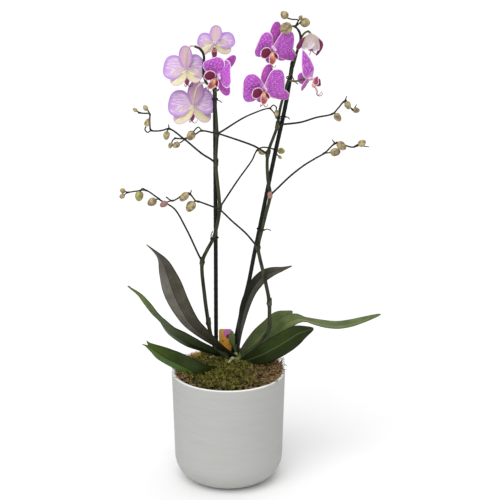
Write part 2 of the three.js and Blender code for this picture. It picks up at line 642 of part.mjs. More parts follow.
// Blooms: the spike each grows on, its centre, the way it faces, its stalk from the spike to its back, and
// for each tepal its tip from the centre, its width and, where it is turned, the way it faces. lobes is how
// far each side lobe of the lip opens, and arch how far the tepals arch
const BLOOMS = {
  a: { spike: 'left', centre: [-15, 19, 545], facing: [0, 0.94, -0.34],
    stalk: [[-28, 8, 533], [-23.5, 9, 536.5], [-19, 12, 542]],
    dorsal: [[2.5, 12, 19], 15], petals: [[[-20, 10, 3.5], 19], [[23.5, 10, 4], 20]],
    laterals: [[[-18, 3, -9], 15], [[19, 4, -10.5], 15]], colour: 'petalBack' },
  b: { spike: 'left', centre: [-48.5, 13, 515], facing: [-0.08, 0.9, -0.42],
    stalk: [[-38, 8, 543.2], [-42.5, 7.6, 543.8], [-46, 5, 539.5], [-48, 4, 527], [-48.7, 7.5, 518.5]],
    dorsal: [[-1.5, 12, 26], 16.5], petals: [[[-27, 6.5, 2.5], 30], [[21.5, 10, 4], 30]],
    laterals: [[[-17, -3, -17.5], 17], [[17, -1, -13], 17]], colour: 'petalBack' },
  c: { spike: 'left', centre: [-40.5, 19, 470], facing: [-0.1, 0.9, -0.42],
    stalk: [[-23, 8, 498.5], [-29, 8, 500], [-35, 9, 495], [-39, 11.5, 482], [-40, 14.5, 474]],
    dorsal: [[4.5, 12, 28], 19.5], petals: [[[-30, 6, 3], 33], [[24, 8, 7], 32]],
    laterals: [[[-22.5, -3, -20], 18], [[19, 3, -19], 18]], colour: 'petalBack' },
  d: { spike: 'left', centre: [-10, 5, 511], facing: [0, -0.88, -0.47],
    stalk: [[-17.5, 9, 494.5], [-13, 10, 490], [-8.5, 11, 493], [-7.5, 10.5, 502]],
    dorsal: [[19.5, 3, 21.5], 13], petals: [[[-8.5, -8, 20], 30], [[14.5, -12, 3], 33, [-0.45, -0.8, 0.2]]],
    laterals: [[[-13, 12, -9], 14], [[10.5, 2, -26.5], 14]], lobes: [1, 0.1], colour: 'petalFront' },
  e: { spike: 'right', centre: [53, -4, 545], facing: [0.32, -0.87, -0.37],
    stalk: [[81, 14, 532], [74, 11, 541], [63, 4, 546]],
    dorsal: [[5.5, 2, 29.5], 15], petals: [[[-18, -7.5, 6.5], 37], [[25, 9, -0.5], 42]],
    laterals: [[[-3, 8.5, -21], 15], [[27.5, 18.5, -17.5], 15]], lobes: [1, 0.1], colour: 'petalFront' },
  f: { spike: 'right', centre: [43, -4, 498], facing: [0.32, -0.87, -0.37],
    stalk: [[66, 13.5, 481], [59, 11, 490], [50, 3.5, 498]],
    dorsal: [[6, -3, 27], 15], petals: [[[-25, -8, -2.5], 41], [[25, 6, 3], 43]],
    laterals: [[[-4, 8.5, -21], 15], [[30, 19, -17.5], 16]], lobes: [1, 0.1], colour: 'petalFront' },
  g: { spike: 'right', centre: [97.5, 8, 557], facing: [0.1, 0.15, -0.98],
    stalk: [[86, 12.5, 551], [90, 12.5, 557.5], [95, 10.5, 560.5]],
    dorsal: [[3, 13, -15], 15], petals: [[[-14.5, -10, -13], 13], [[14, -4, -20], 13]],
    laterals: [[[-7.5, -13, -16], 16], [[7.5, -11.5, -17], 16]], arch: -0.22, colour: 'petalHalfOpen' },
  h: { spike: 'right', centre: [96.5, 6, 505.5], facing: [0.93, -0.3, -0.2],
    stalk: [[72, 13.5, 502], [79, 11, 501], [86, 8, 503], [91.5, 6.5, 505]],
    dorsal: [[1, 10, 23], 14], petals: [[[-7, -15, 18], 34], [[-6, 20, 8], 30]],
    laterals: [[[-10, -10, -12], 14], [[-13, 8, -6], 15]], colour: 'petalFront' },
};

// A bloom's own directions: right and up as its front is seen, and forward
function bloomFrame({ centre, facing, dorsal: [dorsalTip] }) {
  const forward = vec(facing).normalize();
  const up = vec(dorsalTip).addScaledVector(forward, -vec(dorsalTip).dot(forward)).normalize();
  const right = up.clone().cross(forward);
  const at = ([r, u, f]) => vec(centre)
    .addScaledVector(right, r)
    .addScaledVector(up, u)
    .addScaledVector(forward, f);
  return { at, forward };
}

// Five tepals round a hub, from which the column stands forward and the stalk goes back
const COLUMN_PROFILE = [[3.6, -1.8], [3.5, 1.8], [2.3, 4], [2.6, 8], [1.2, 9.5]];
function bloomBody(spec, grow = 0) {
  const { at, forward } = bloomFrame(spec);
  const centre = vec(spec.centre);
  const arch = spec.arch ?? 0.05;
  const tepal = (shape, step, grid) => ([tip, width, face]) => petal({
    root: centre.clone().addScaledVector(forward, step),
    tip: centre.clone().add(vec(tip)),
    face: face ? vec(face) : forward,
    width,
    shape,
    arch,
    cup: arch < 0 ? 0.3 : -0.12,
    thickness: TEPAL_THICKNESS,
    grid,
    grow,
  });
  const axis = at([0, 0.15, 1]).sub(centre).normalize();
  return joined([
    swelling(spec.stalk, BLOOM_STALK_RADIUS, centre, axis, COLUMN_PROFILE, 5, grow),
    ...[spec.dorsal, ...spec.laterals].map(tepal('sepal', SEPAL_STEP, SEPAL_GRID)),
    ...spec.petals.map(tepal('petal', PETAL_STEP, PETAL_GRID)),
  ]);
}

// The lip: one three-lobed sheet that fans out below the column, its side lobes turned up by each side of it
function lip(spec) {
  const { at } = bloomFrame(spec);
  const opened = spec.lobes ?? [0.35, 0.35];
  const middleLobe = vec(LIP_MIDDLE).normalize();
  const surfaceAt = (t, s) => {
    const open = opened[s < 0 ? 0 : 1];
    const sideLobe = new THREE.Vector3(Math.sign(s) * (0.3 + 0.7 * open), 0.5 - 0.5 * open, 0.7 - 0.4 * open);
    const angle = THREE.MathUtils.degToRad(Math.abs(s) * LIP_SWEEP);
    const lobed = 0.7 + 0.3 * Math.cos((360 / LIP_LOBE_ANGLE) * angle);
    const reach = LIP_REACH * THREE.MathUtils.lerp(LIP_ROOT, lobed, t);
    const direction = middleLobe.clone().multiplyScalar(Math.cos(angle))
      .addScaledVector(sideLobe.normalize(), Math.sin(angle)).normalize();
    return at([direction.x * reach, LIP_FOOT[0] + direction.y * reach, LIP_FOOT[1] + direction.z * reach]);
  };
  return blade(surfaceAt, LIP_THICKNESS, ...LIP_GRID);
}

// A twist tie: a loop of covered wire round a stake and a spike, and its twisted end
function tie({ stakeAt, spikeAt, spikeRadius, z, end }) {
  const clear = GAP + TIE_WIRE + TIE_SLACK;
  const count = 10;
  const sides = 4;
  const rounds = [[stakeAt, STAKE_RADIUS + clear], [spikeAt, spikeRadius + clear]];
  const positions = [];
  const triangles = [];
  for (let k = 0; k < count; k += 1) {
    const angle = (2 * Math.PI * k) / count;
    const out = [Math.cos(angle), Math.sin(angle)];
    const [reach, other] = rounds.map(([[x, y], r]) => x * out[0] + y * out[1] + r);
    const [[x, y], r] = rounds[reach > other ? 0 : 1];
    for (let j = 0; j < sides; j += 1) {
      const turn = (2 * Math.PI * (j + 0.5)) / sides;
      const radius = r + TIE_WIRE * Math.cos(turn);
      positions.push([x + radius * out[0], y + radius * out[1], z + TIE_WIRE * Math.sin(turn)]);
      const [a, b] = [k, (k + 1) % count].map((ring) => ring * sides + j);
      const [c, d] = [k, (k + 1) % count].map((ring) => ring * sides + ((j + 1) % sides));
      triangles.push([a, b, c], [b, d, c]);
    }
  }
  return solidOf(geometryFrom(positions, triangles)).add(stalk(end, even(TIE_WIRE), 4, end.length - 1));
}

const TIES = {
  left_low: { stakeAt: [-15, 16], spikeAt: [-18, 10.5], spikeRadius: 2.4, z: 307,
    end: [[-19.5, 7.2, 307], [-20.5, 6.5, 312], [-18.5, 6.5, 318]] },
  left_high: { stakeAt: [-15, 16], spikeAt: [-15, 10.5], spikeRadius: 2.1, z: 479,
    end: [[-12, 8.5, 479], [-9, 8, 478], [-6.5, 8, 476]] },
  right_low: { stakeAt: [38.5, 23], spikeAt: [40.9, 17.4], spikeRadius: 2.4, z: 316,
    end: [[43.5, 15.5, 316], [47, 14.5, 318], [52, 14, 316.5]] },
  right_mid: { stakeAt: [66.1, 20.3], spikeAt: [60.6, 14], spikeRadius: 2.1, z: 456,
    end: [[68.5, 18, 456], [71.5, 16.5, 456.5], [74, 16, 454]] },
  right_high: { stakeAt: [73.8, 20], spikeAt: [72.6, 13.5], spikeRadius: 1.9, z: 504.5,
    end: [[77, 18, 504.5], [79.5, 16.5, 500], [83.5, 16, 496.5]] },
};

// The printed plant card behind the crown, stuck into the moss
function card(grow = 0) {
  const [width, thickness, height] = CARD_SIZE;
  const plate = new THREE.BoxGeometry(width + 2 * grow, thickness + 2 * grow, height + grow);
  plate.translate(...CARD_AT, CARD_TOP - (height - grow) / 2);
  return solidOf(plate);
}

const object = new THREE.Group();

function place(name, solid, colour) {
  const mesh = new THREE.Mesh(geometryOf(solid), new THREE.MeshStandardMaterial(FINISHES[colour]));
  mesh.name = name;
  object.add(mesh);
}

const names = (table) => Object.keys(table);
const grownStakes = names(STAKES).map((name) => stake(name, GAP));
const grownSpikes = { left: spike('left', GAP), right: spike('right', GAP) };
const grownRoots = names(ROOTS).map((name) => aerialRoot(name, GAP));
const grownCard = card(GAP);
const grownCrown = crown(GAP);

place('pot', pot(), 'ceramic');
place('nursery_pot', liner(), 'liner');
place('bark_mix', cutClear(barkMix(), [...grownStakes, grownCrown, grownCard]), 'bark');
place('crown', crown(), 'crown');
names(STAKES).forEach((name) => place(`stake_${name}`, stake(name), 'stake'));
names(SPIKES).forEach((name) => {
  place(`spike_${name}`, cutClear(spike(name), [grownCrown]), 'spike');
});
names(ROOTS).forEach((name) => {
  place(`root_${name}`, cutClear(aerialRoot(name), [grownCrown, grownSpikes.left]), 'root');
});

// Each leaf is cut clear of the crown, the spikes, the roots and the leaves above it
const above = [grownCrown, ...Object.values(grownSpikes), ...grownRoots, ...grownStakes];
names(LEAVES).forEach((name) => {
  place(`leaf_${name}`, cutClear(leafBlade(LEAVES[name]), above), LEAVES[name].colour);
  above.push(leafBlade(LEAVES[name], GAP));
});
place('moss', cutClear(moss(), [...above, grownCard]), 'moss');

names(SPRAYS).forEach((name) => {
  const side = name.split('_')[0];
  place(`spray_${name}`, cutClear(spray(SPRAYS[name]), [grownSpikes[side]]), 'branch');
});
names(BLOOMS).forEach((name) => {
  const spec = BLOOMS[name];
  place(`bloom_${name}`, cutClear(bloomBody(spec), [grownSpikes[spec.spike]]), spec.colour);
  place(`lip_${name}`, cutClear(lip(spec), [bloomBody(spec, GAP)]), 'lip');
});
names(TIES).forEach((name) => place(`tie_${name}`, tie(TIES[name]), 'tie'));
place('care_card', card(), 'card');

export default object;
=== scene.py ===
"""Potted moth orchid: the finished look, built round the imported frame.

Sizes and places are in millimetres, in the frame of the CAD model: +Z up, the front at -Y, the origin at the
centre of the pot's underside. They become metres when a mesh is made.
"""

from __future__ import annotations

import logging
import math
from collections.abc import Callable, Sequence
from dataclasses import dataclass, field
from enum import Enum
from typing import Any

import bpy
import numpy as np
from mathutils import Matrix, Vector


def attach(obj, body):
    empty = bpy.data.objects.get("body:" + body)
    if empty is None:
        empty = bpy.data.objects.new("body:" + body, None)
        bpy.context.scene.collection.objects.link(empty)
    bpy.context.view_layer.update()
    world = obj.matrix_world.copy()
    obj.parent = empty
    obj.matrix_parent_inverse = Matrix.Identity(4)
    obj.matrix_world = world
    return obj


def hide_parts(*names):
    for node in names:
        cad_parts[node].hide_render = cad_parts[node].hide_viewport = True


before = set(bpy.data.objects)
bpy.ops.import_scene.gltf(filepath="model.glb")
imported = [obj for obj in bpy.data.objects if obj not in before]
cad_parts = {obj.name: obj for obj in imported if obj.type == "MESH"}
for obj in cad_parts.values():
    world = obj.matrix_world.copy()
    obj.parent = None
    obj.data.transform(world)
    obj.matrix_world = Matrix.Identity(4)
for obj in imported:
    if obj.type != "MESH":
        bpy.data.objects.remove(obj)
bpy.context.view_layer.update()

logging.basicConfig(level=logging.INFO, format="%(name)s: %(message)s")
log = logging.getLogger("orchid")

MM = 0.001
PER_MM = 1 / MM
PER_CM2 = 10000.0
SEED = 20
TINY = 1e-9
# Successive leaves, leaflets and sheaths stand this far round from each other, in radians
GOLDEN_TURN = 2.4
# Noise lies about 0.5; a soft patch fades in between the first two values, a fine line between the others
PATCH_FADE = (0.38, 0.62)
LINE_FADE = (0.48, 0.62)
# At scale 1, the bands of a wave texture lie this far apart
WAVE_BAND = 0.314

Point = Sequence[float]
Array = np.ndarray
Socket = bpy.types.NodeSocket
Tree = bpy.types.NodeTree


# Small mathematics


def unit(vectors: Array) -> Array:
    """Returns the vectors scaled to length 1, along their last axis."""
    length = np.linalg.norm(vectors, axis=-1, keepdims=True)
    return vectors / np.maximum(length, TINY)


def smoothstep(low: float, high: float, value: Array | float) -> Array:
    """Returns a soft step from 0 below low to 1 above high."""
    share = np.clip((np.asarray(value, float) - low) / (high - low), 0, 1)
    return share * share * (3 - 2 * share)


def directions(reach: Array, face: Array) -> tuple[float, Array, Array, Array]:
    """Works out how a blade lies.

    Args:
        reach: the way from its root to its tip.
        face: the way that its front faces, more or less.

    Returns:
        Its length and three unit vectors: along it, out of its front and to its side.
    """
    length = float(np.linalg.norm(reach))
    along = reach / length
    front = unit(face - along * np.dot(face, along))
    return length, along, front, np.cross(front, along)


class Path:
    """A smooth line through given points, read by its share of length from 0 to 1."""

    def __init__(self, points: Sequence[Point], samples: int = 16) -> None:
        """Fits a centripetal Catmull-Rom line.

        Args:
            points: two or more points that the line passes through.
            samples: straight stretches between two neighbouring points.
        """
        knots = np.array(points, float)
        first = 2 * knots[0] - knots[1]
        last = 2 * knots[-1] - knots[-2]
        padded = np.vstack([first, knots, last])
        share = np.linspace(0, 1, samples, endpoint=False)[:, None]
        dense = []
        for p0, p1, p2, p3 in zip(padded, padded[1:], padded[2:], padded[3:]):
            d0, d1, d2 = (math.sqrt(np.linalg.norm(b - a)) for a, b in ((p0, p1), (p1, p2), (p2, p3)))
            leave = ((p1 - p0) / d0 - (p2 - p0) / (d0 + d1) + (p2 - p1) / d1) * d1
            arrive = ((p2 - p1) / d1 - (p3 - p1) / (d1 + d2) + (p3 - p2) / d2) * d1
            square = 3 * (p2 - p1) - 2 * leave - arrive
            cube = 2 * (p1 - p2) + leave + arrive
            dense.append(p1 + leave * share + square * share**2 + cube * share**3)
        dense.append(knots[-1:])
        self.points: Array = np.vstack(dense)
        steps = np.linalg.norm(np.diff(self.points, axis=0), axis=1)
        self.lengths: Array = np.concatenate([[0], np.cumsum(steps)])
        self.length: float = float(self.lengths[-1])

    def at(self, share: Array | float) -> Array:
        """Returns the points at the given shares of the line's length."""
        wanted = np.clip(np.asarray(share, float), 0, 1) * self.length
        return np.stack([np.interp(wanted, self.lengths, axis) for axis in self.points.T], axis=-1)

    def along(self, share: Array | float) -> Array:
        """Returns the line's directions at the given shares of its length."""
        step = 0.004
        share = np.asarray(share, float)
        return unit(self.at(share + step) - self.at(share - step))

    def nearest(self, point: Point) -> int:
        """Returns the number of the line's point that lies nearest to the given one."""
        return int(np.linalg.norm(self.points - np.array(point, float), axis=1).argmin())


# Shapes: triangles with a finish number each and named values at their points


@dataclass
class Shape:
    """Triangles in millimetres, the finish number of each, and named values at the points."""

    points: Array
    triangles: Array
    finishes: Array
    values: dict[str, Array] = field(default_factory=dict)

    @staticmethod
    def joined(shapes: Sequence[Shape]) -> Shape:
        """Puts several shapes into one.

        Args:
            shapes: the shapes, each closed.

        Returns:
            One shape; a value that a part of it doesn't have is 0 there.
        """
        names = sorted({name for shape in shapes for name in shape.values})
        starts = np.cumsum([0] + [len(shape.points) for shape in shapes])
        return Shape(
            np.vstack([shape.points for shape in shapes]),
            np.vstack([shape.triangles + start for shape, start in zip(shapes, starts)]),
            np.concatenate([shape.finishes for shape in shapes]),
            {
                name: np.concatenate([s.values.get(name, np.zeros(len(s.points))) for s in shapes])
                for name in names
            },
        )


def lofted(rings: Array, finish: int = 0) -> Shape:
    """Skins a row of closed rings into one closed shape.

    Args:
        rings: points by ring and place in the ring; the rings follow each other along the shape.
        finish: the finish number of the faces.

    Returns:
        The closed shape, with a fan of triangles at either end.
    """
    count, sides, _ = rings.shape
    ends = np.stack([rings[0].mean(axis=0), rings[-1].mean(axis=0)])
    points = np.vstack([rings.reshape(-1, 3), ends])
    i, j = np.meshgrid(np.arange(count - 1), np.arange(sides), indexing="ij")
    near, beside = i * sides + j, i * sides + (j + 1) % sides
    skin = [
        np.stack([near, beside, near + sides], -1).reshape(-1, 3),
        np.stack([beside, beside + sides, near + sides], -1).reshape(-1, 3),
    ]
    turn = np.arange(sides)
    after = (turn + 1) % sides
    root, tip, top = count * sides, count * sides + 1, (count - 1) * sides
    skin.append(np.stack([np.full(sides, root), after, turn], -1))
    skin.append(np.stack([np.full(sides, tip), top + turn, top + after], -1))
    triangles = np.vstack(skin)
    return Shape(points, triangles, np.full(len(triangles), finish))


def rings_about(centres: Array, axes: Array, radii: Array, sides: int, hint: Point = (1, 0, 0)) -> Array:
    """Works out round rings, each square to its axis and turned like the one before.

    Args:
        centres: the middle of each ring.
        axes: the direction that each ring is square to.
        radii: the radius by ring, or by ring and side.
        sides: how many points a ring has.
        hint: where its first point lies, more or less.

    Returns:
        The points by ring and side.
    """
    across = np.array(hint, float)
    angle = 2 * np.pi * np.arange(sides) / sides
    radii = np.asarray(radii, float)
    if radii.ndim == 1:
        radii = np.repeat(radii[:, None], sides, axis=1)
    rings = []
    for centre, axis, radius in zip(centres, axes, radii):
        if abs(np.dot(across, axis)) > 0.95 * np.linalg.norm(across):
            across = np.array([axis[2], axis[0], axis[1]])
        across = unit(across - axis * np.dot(across, axis))
        third = np.cross(axis, across)
        turn = np.cos(angle)[:, None] * across + np.sin(angle)[:, None] * third
        rings.append(centre + radius[:, None] * turn)
    return np.array(rings)


def turned(
    profile: Sequence[Point], steps: int, place: Array, axis: Array, sides: int, finish: int
) -> Shape:
    """Turns a smooth profile about an axis.

    Args:
        profile: points with the radius first and the height along the axis last.
        steps: how many rings are read from it.
        place: where its height is 0.
        axis: the way that its height grows.
        sides: the sides of a ring.
        finish: the finish number.

    Returns:
        The closed shape.
    """
    outline = Path(profile).at(np.linspace(0, 1, steps))
    axes = np.repeat(axis[None], steps, axis=0)
    return lofted(rings_about(place + axis * outline[:, 2:], axes, outline[:, 0], sides), finish)


def blade(
    surface: Callable[[Array, Array], Array],
    thickness: float,
    along: int,
    across: int,
    finishes: tuple[int, int] = (0, 1),
    values: Callable[[Array, Array], dict[str, Array]] | None = None,
    edge: float = 0.35,
) -> Shape:
    """Makes a thin closed blade, such as a petal or a leaf, from its middle surface.

    Args:
        surface: gives points from t, 0 at the root to 1 at the tip, and s, -1 to 1 across.
        thickness: the thickness at the midrib.
        along: steps from root to tip.
        across: steps from edge to edge.
        finishes: the finish numbers of the front and of the back.
        values: gives named values from t and s.
        edge: the share of the thickness that is left at the edges.

    Returns:
        The closed blade, with triangles alike on both faces.
    """
    t = np.clip(0.5 - 0.5 * np.cos(np.pi * np.linspace(0, 1, along + 1)), 0.0005, 0.9995)[:, None]
    s = np.sin(np.pi / 2 * np.linspace(-1, 1, across + 1))[None, :]
    t, s = np.broadcast_arrays(t, s)
    middle = surface(t, s)
    normal = unit(np.cross(np.gradient(middle, axis=0), np.gradient(middle, axis=1)))
    half = thickness / 2 * (edge + (1 - edge) * np.sqrt(np.clip(1 - s**2, 0, 1)))
    half = half * np.sqrt(np.clip(1 - np.clip((t - 0.8) / 0.2, 0, 1) ** 2 * (1 - edge), 0, 1))
    lift = normal * half[..., None]
    points = np.vstack([(middle + lift).reshape(-1, 3), (middle - lift).reshape(-1, 3)])
    row, under = across + 1, (along + 1) * (across + 1)
    i, j = np.meshgrid(np.arange(along), np.arange(across), indexing="ij")
    a = (i * row + j).ravel()
    b = a + row
    front = np.vstack([np.stack([a, b, a + 1], -1), np.stack([b, b + 1, a + 1], -1)])
    back = under + front[:, [0, 2, 1]]
    low, high = np.arange(along) * row, np.arange(along) * row + across
    foot, top = np.arange(across), along * row + np.arange(across)
    rim = np.vstack(
        [
            np.stack([low, under + low, under + low + row], -1),
            np.stack([low, under + low + row, low + row], -1),
            np.stack([high, under + high + row, under + high], -1),
            np.stack([high, high + row, under + high + row], -1),
            np.stack([foot, foot + 1, under + foot + 1], -1),
            np.stack([foot, under + foot + 1, under + foot], -1),
            np.stack([top, under + top + 1, top + 1], -1),
            np.stack([top, under + top, under + top + 1], -1),
        ]
    )
    numbers = np.concatenate(
        [np.full(len(front), finishes[0]), np.full(len(back), finishes[1]), np.full(len(rim), finishes[0])]
    )
    named = {"along": t, "across": s, **(values(t, s) if values else {})}
    doubled = {name: np.tile(np.broadcast_to(value, t.shape).ravel(), 2) for name, value in named.items()}
    return Shape(points, np.vstack([front, back, rim]), numbers, doubled)


# Finishes: each starts from what the real surface is


def linear(code: str) -> tuple[float, float, float, float]:
    """Turns an sRGB hex value into linear red, green, blue and alpha."""
    parts = [int(code[k : k + 2], 16) / 255 for k in (1, 3, 5)]
    return (*[c / 12.92 if c <= 0.04045 else ((c + 0.055) / 1.055) ** 2.4 for c in parts], 1.0)


def add(
    tree: Tree,
    kind: str,
    inputs: dict[str | int, Any] | None = None,
    out: str | int = 0,
    stops: Sequence[tuple[float, str]] = (),
    **settings: Any,
) -> Socket:
    """Adds a node with its settings and links.

    Args:
        tree: the tree that it goes into.
        kind: Blender's name for the kind of node.
        inputs: a value, a hex colour or another node's output, by input name or number.
        out: the name or number of the output that is wanted.
        stops: places and hex colours of a colour ramp.
        settings: the node's own properties.

    Returns:
        The wanted output of the new node.
    """
    node = tree.nodes.new(kind)
    for name, value in settings.items():
        setattr(node, name, value)
    for key, value in (inputs or {}).items():
        if isinstance(value, Socket):
            tree.links.new(value, node.inputs[key])
        else:
            is_colour = isinstance(value, str) and value.startswith("#")
            node.inputs[key].default_value = linear(value) if is_colour else value
    if stops:
        ramp = node.color_ramp
        while len(ramp.elements) < len(stops):
            ramp.elements.new(0.5)
        for element, (place, code) in zip(ramp.elements, stops):
            element.position = place
            element.color = linear(code)
    return node.outputs[out]


def here(tree: Tree, scale: Point = (1, 1, 1)) -> Socket:
    """Returns the place on the object, stretched by a scale."""
    place = add(tree, "ShaderNodeTexCoord", out="Object")
    return add(tree, "ShaderNodeMapping", {"Vector": place, "Scale": scale})


def patches(tree: Tree, size_mm: float, detail: float = 3.0, scale: Point = (1, 1, 1)) -> Socket:
    """Returns soft noise on the object, from 0 to 1 about 0.5, in patches of that size."""
    inputs = {"Vector": here(tree, scale), "Scale": PER_MM / size_mm, "Detail": detail}
    return add(tree, "ShaderNodeTexNoise", inputs)


def streaks(tree: Tree, breaks: float, detail: float) -> Socket:
    """Adds noise that is drawn out along a blade's veins.

    Args:
        tree: the material's tree.
        breaks: how often a streak breaks off from root to tip.
        detail: how much finer noise is laid over it.

    Returns:
        The noise, from 0 to 1.
    """
    vein, along = (add(tree, "ShaderNodeAttribute", out="Fac", attribute_name=n) for n in ("vein", "along"))
    flow = add(tree, "ShaderNodeCombineXYZ", {"X": vein, "Y": along})
    drawn = add(tree, "ShaderNodeMapping", {"Vector": flow, "Scale": (1.0, breaks, 1.0)})
    return add(tree, "ShaderNodeTexNoise", {"Vector": drawn, "Scale": 1.0, "Detail": detail})


def cells(tree: Tree, spacing_mm: float) -> Socket:
    """Returns the distance to the nearest of many scattered points, 1 being their spacing."""
    return add(tree, "ShaderNodeTexVoronoi", {"Vector": here(tree), "Scale": PER_MM / spacing_mm})


def washed(
    tree: Tree,
    value: Socket,
    low: float,
    high: float,
    under: Socket | str,
    over: Socket | str,
    most: float = 1.0,
) -> Socket:
    """Lays one colour over another where a value goes from low to high.

    Args:
        tree: the material's tree.
        value: the value that decides.
        low: where the upper colour begins to show.
        high: where it shows most.
        under: the lower colour, a socket or a hex value.
        over: the upper colour.
        most: how much of the upper colour shows at most.

    Returns:
        The colour that results.
    """
    inputs = {"Value": value, "From Min": low, "From Max": high, "To Max": most}
    share = add(tree, "ShaderNodeMapRange", inputs)
    return add(tree, "ShaderNodeMix", {0: share, 6: under, 7: over}, 2, data_type="RGBA")


@dataclass(frozen=True)
class Finish:
    """A surface: its name, its main colour, and what the shader takes as constants."""

    name: str
    colour: str
    roughness: float = 0.5
    ior: float = 1.45
    sheen: float = 0.0
    coat: float = 0.0
    coat_roughness: float = 0.3

    def pattern(self, tree: Tree) -> tuple[Socket, Socket | None]:
        """Adds the nodes that give the colour and, where there is one, the relief.

        Args:
            tree: the material's tree.

        Returns:
            The colour socket and the height socket, the latter in millimetres.
        """
        raise NotImplementedError

    def material(self) -> bpy.types.Material:
        """Returns the material, which is made once."""
        known = bpy.data.materials.get(self.name)
        if known:
            return known
        new = bpy.data.materials.new(self.name)
        new.use_nodes = True
        tree = new.node_tree
        shader = tree.nodes["Principled BSDF"].inputs
        constants = {
            "Roughness": self.roughness,
            "IOR": self.ior,
            "Sheen Weight": self.sheen,
            "Coat Weight": self.coat,
            "Coat Roughness": self.coat_roughness,
        }
        for label, value in constants.items():
            shader[label].default_value = value
        colour, height = self.pattern(tree)
        tree.links.new(colour, shader["Base Color"])
        if height:
            bump = add(tree, "ShaderNodeBump", {"Height": height, "Distance": MM, "Strength": 1.0})
            tree.links.new(bump, shader["Normal"])
        return new


@dataclass(frozen=True)
class Mottled(Finish):
    """A plain grown or made surface with soft patches and a fine grain.

    Heights are in millimetres. The patches are longer along Z than across it by the factor stretch.
    """

    second: str = "#808080"
    patch_mm: float = 6.0
    grain_mm: float = 0.8
    grain_height: float = 0.05
    stretch: float = 1.0

    def pattern(self, tree: Tree) -> tuple[Socket, Socket]:
        """Adds patches of the second colour and the grain."""
        scale = (1, 1, 1 / self.stretch)
        soft = patches(tree, self.patch_mm, scale=scale)
        colour = washed(tree, soft, *PATCH_FADE, self.colour, self.second)
        grain = patches(tree, self.grain_mm, 2.0, scale)
        return colour, add(tree, "ShaderNodeMath", {0: grain, 1: self.grain_height}, operation="MULTIPLY")


@dataclass(frozen=True)
class Stoneware(Finish):
    """Thrown stoneware under a matt white glaze: faint rings, a soft mottle, and a painted highlight on the
    top of the rim.

    Rings fade in places that lie fade_mm apart, and a higher sharpness makes them narrower. The rim's painted
    highlight begins at the height rim_from and is full at rim_full.
    """

    ring_mm: float = 7.0
    ring_height: float = 0.16
    sharpness: float = 5.0
    fade_mm: float = 30.0
    shade: str = "#ABACA8"
    mottle_mm: float = 38.0
    speck_mm: float = 0.9
    speck_height: float = 0.035
    # Painted highlight: the near-white colour of the rim's flat top, where the light falls on it
    rim: str = "#EFEFEC"
    rim_from: float = 139.2
    rim_full: float = 139.7

    def pattern(self, tree: Tree) -> tuple[Socket, Socket]:
        """Adds the rings, which wander and fade in places, the mottle and the painted highlight on the rim.
        """
        wander = {"Distortion": 3.0, "Detail": 2.0, "Detail Scale": 0.5}
        bands = {"Vector": here(tree), "Scale": WAVE_BAND * PER_MM / self.ring_mm, **wander}
        wave = add(tree, "ShaderNodeTexWave", bands, "Fac", wave_type="BANDS", bands_direction="Z")
        rings = add(tree, "ShaderNodeMath", {0: wave, 1: self.sharpness}, operation="POWER")
        fade = {
            "Value": patches(tree, self.fade_mm, scale=(1, 1, 3)),
            "From Min": LINE_FADE[0],
            "From Max": LINE_FADE[1],
            "To Max": self.ring_height,
        }
        shown = add(tree, "ShaderNodeMapRange", fade)
        mottle = patches(tree, self.mottle_mm, 5.0, (1, 1, 7))
        tone = washed(tree, mottle, 0.3, 0.6, self.shade, self.colour)
        # From its lower height up, the top of the rim is painted near white: a painted highlight
        height = add(tree, "ShaderNodeSeparateXYZ", {0: here(tree)}, "Z")
        colour = washed(tree, height, self.rim_from * MM, self.rim_full * MM, tone, self.rim)
        fine = {0: patches(tree, self.speck_mm, 2.0), 1: self.speck_height}
        speck = add(tree, "ShaderNodeMath", fine, operation="MULTIPLY")
        return colour, add(tree, "ShaderNodeMath", {0: rings, 1: shown, 2: speck}, operation="MULTIPLY_ADD")


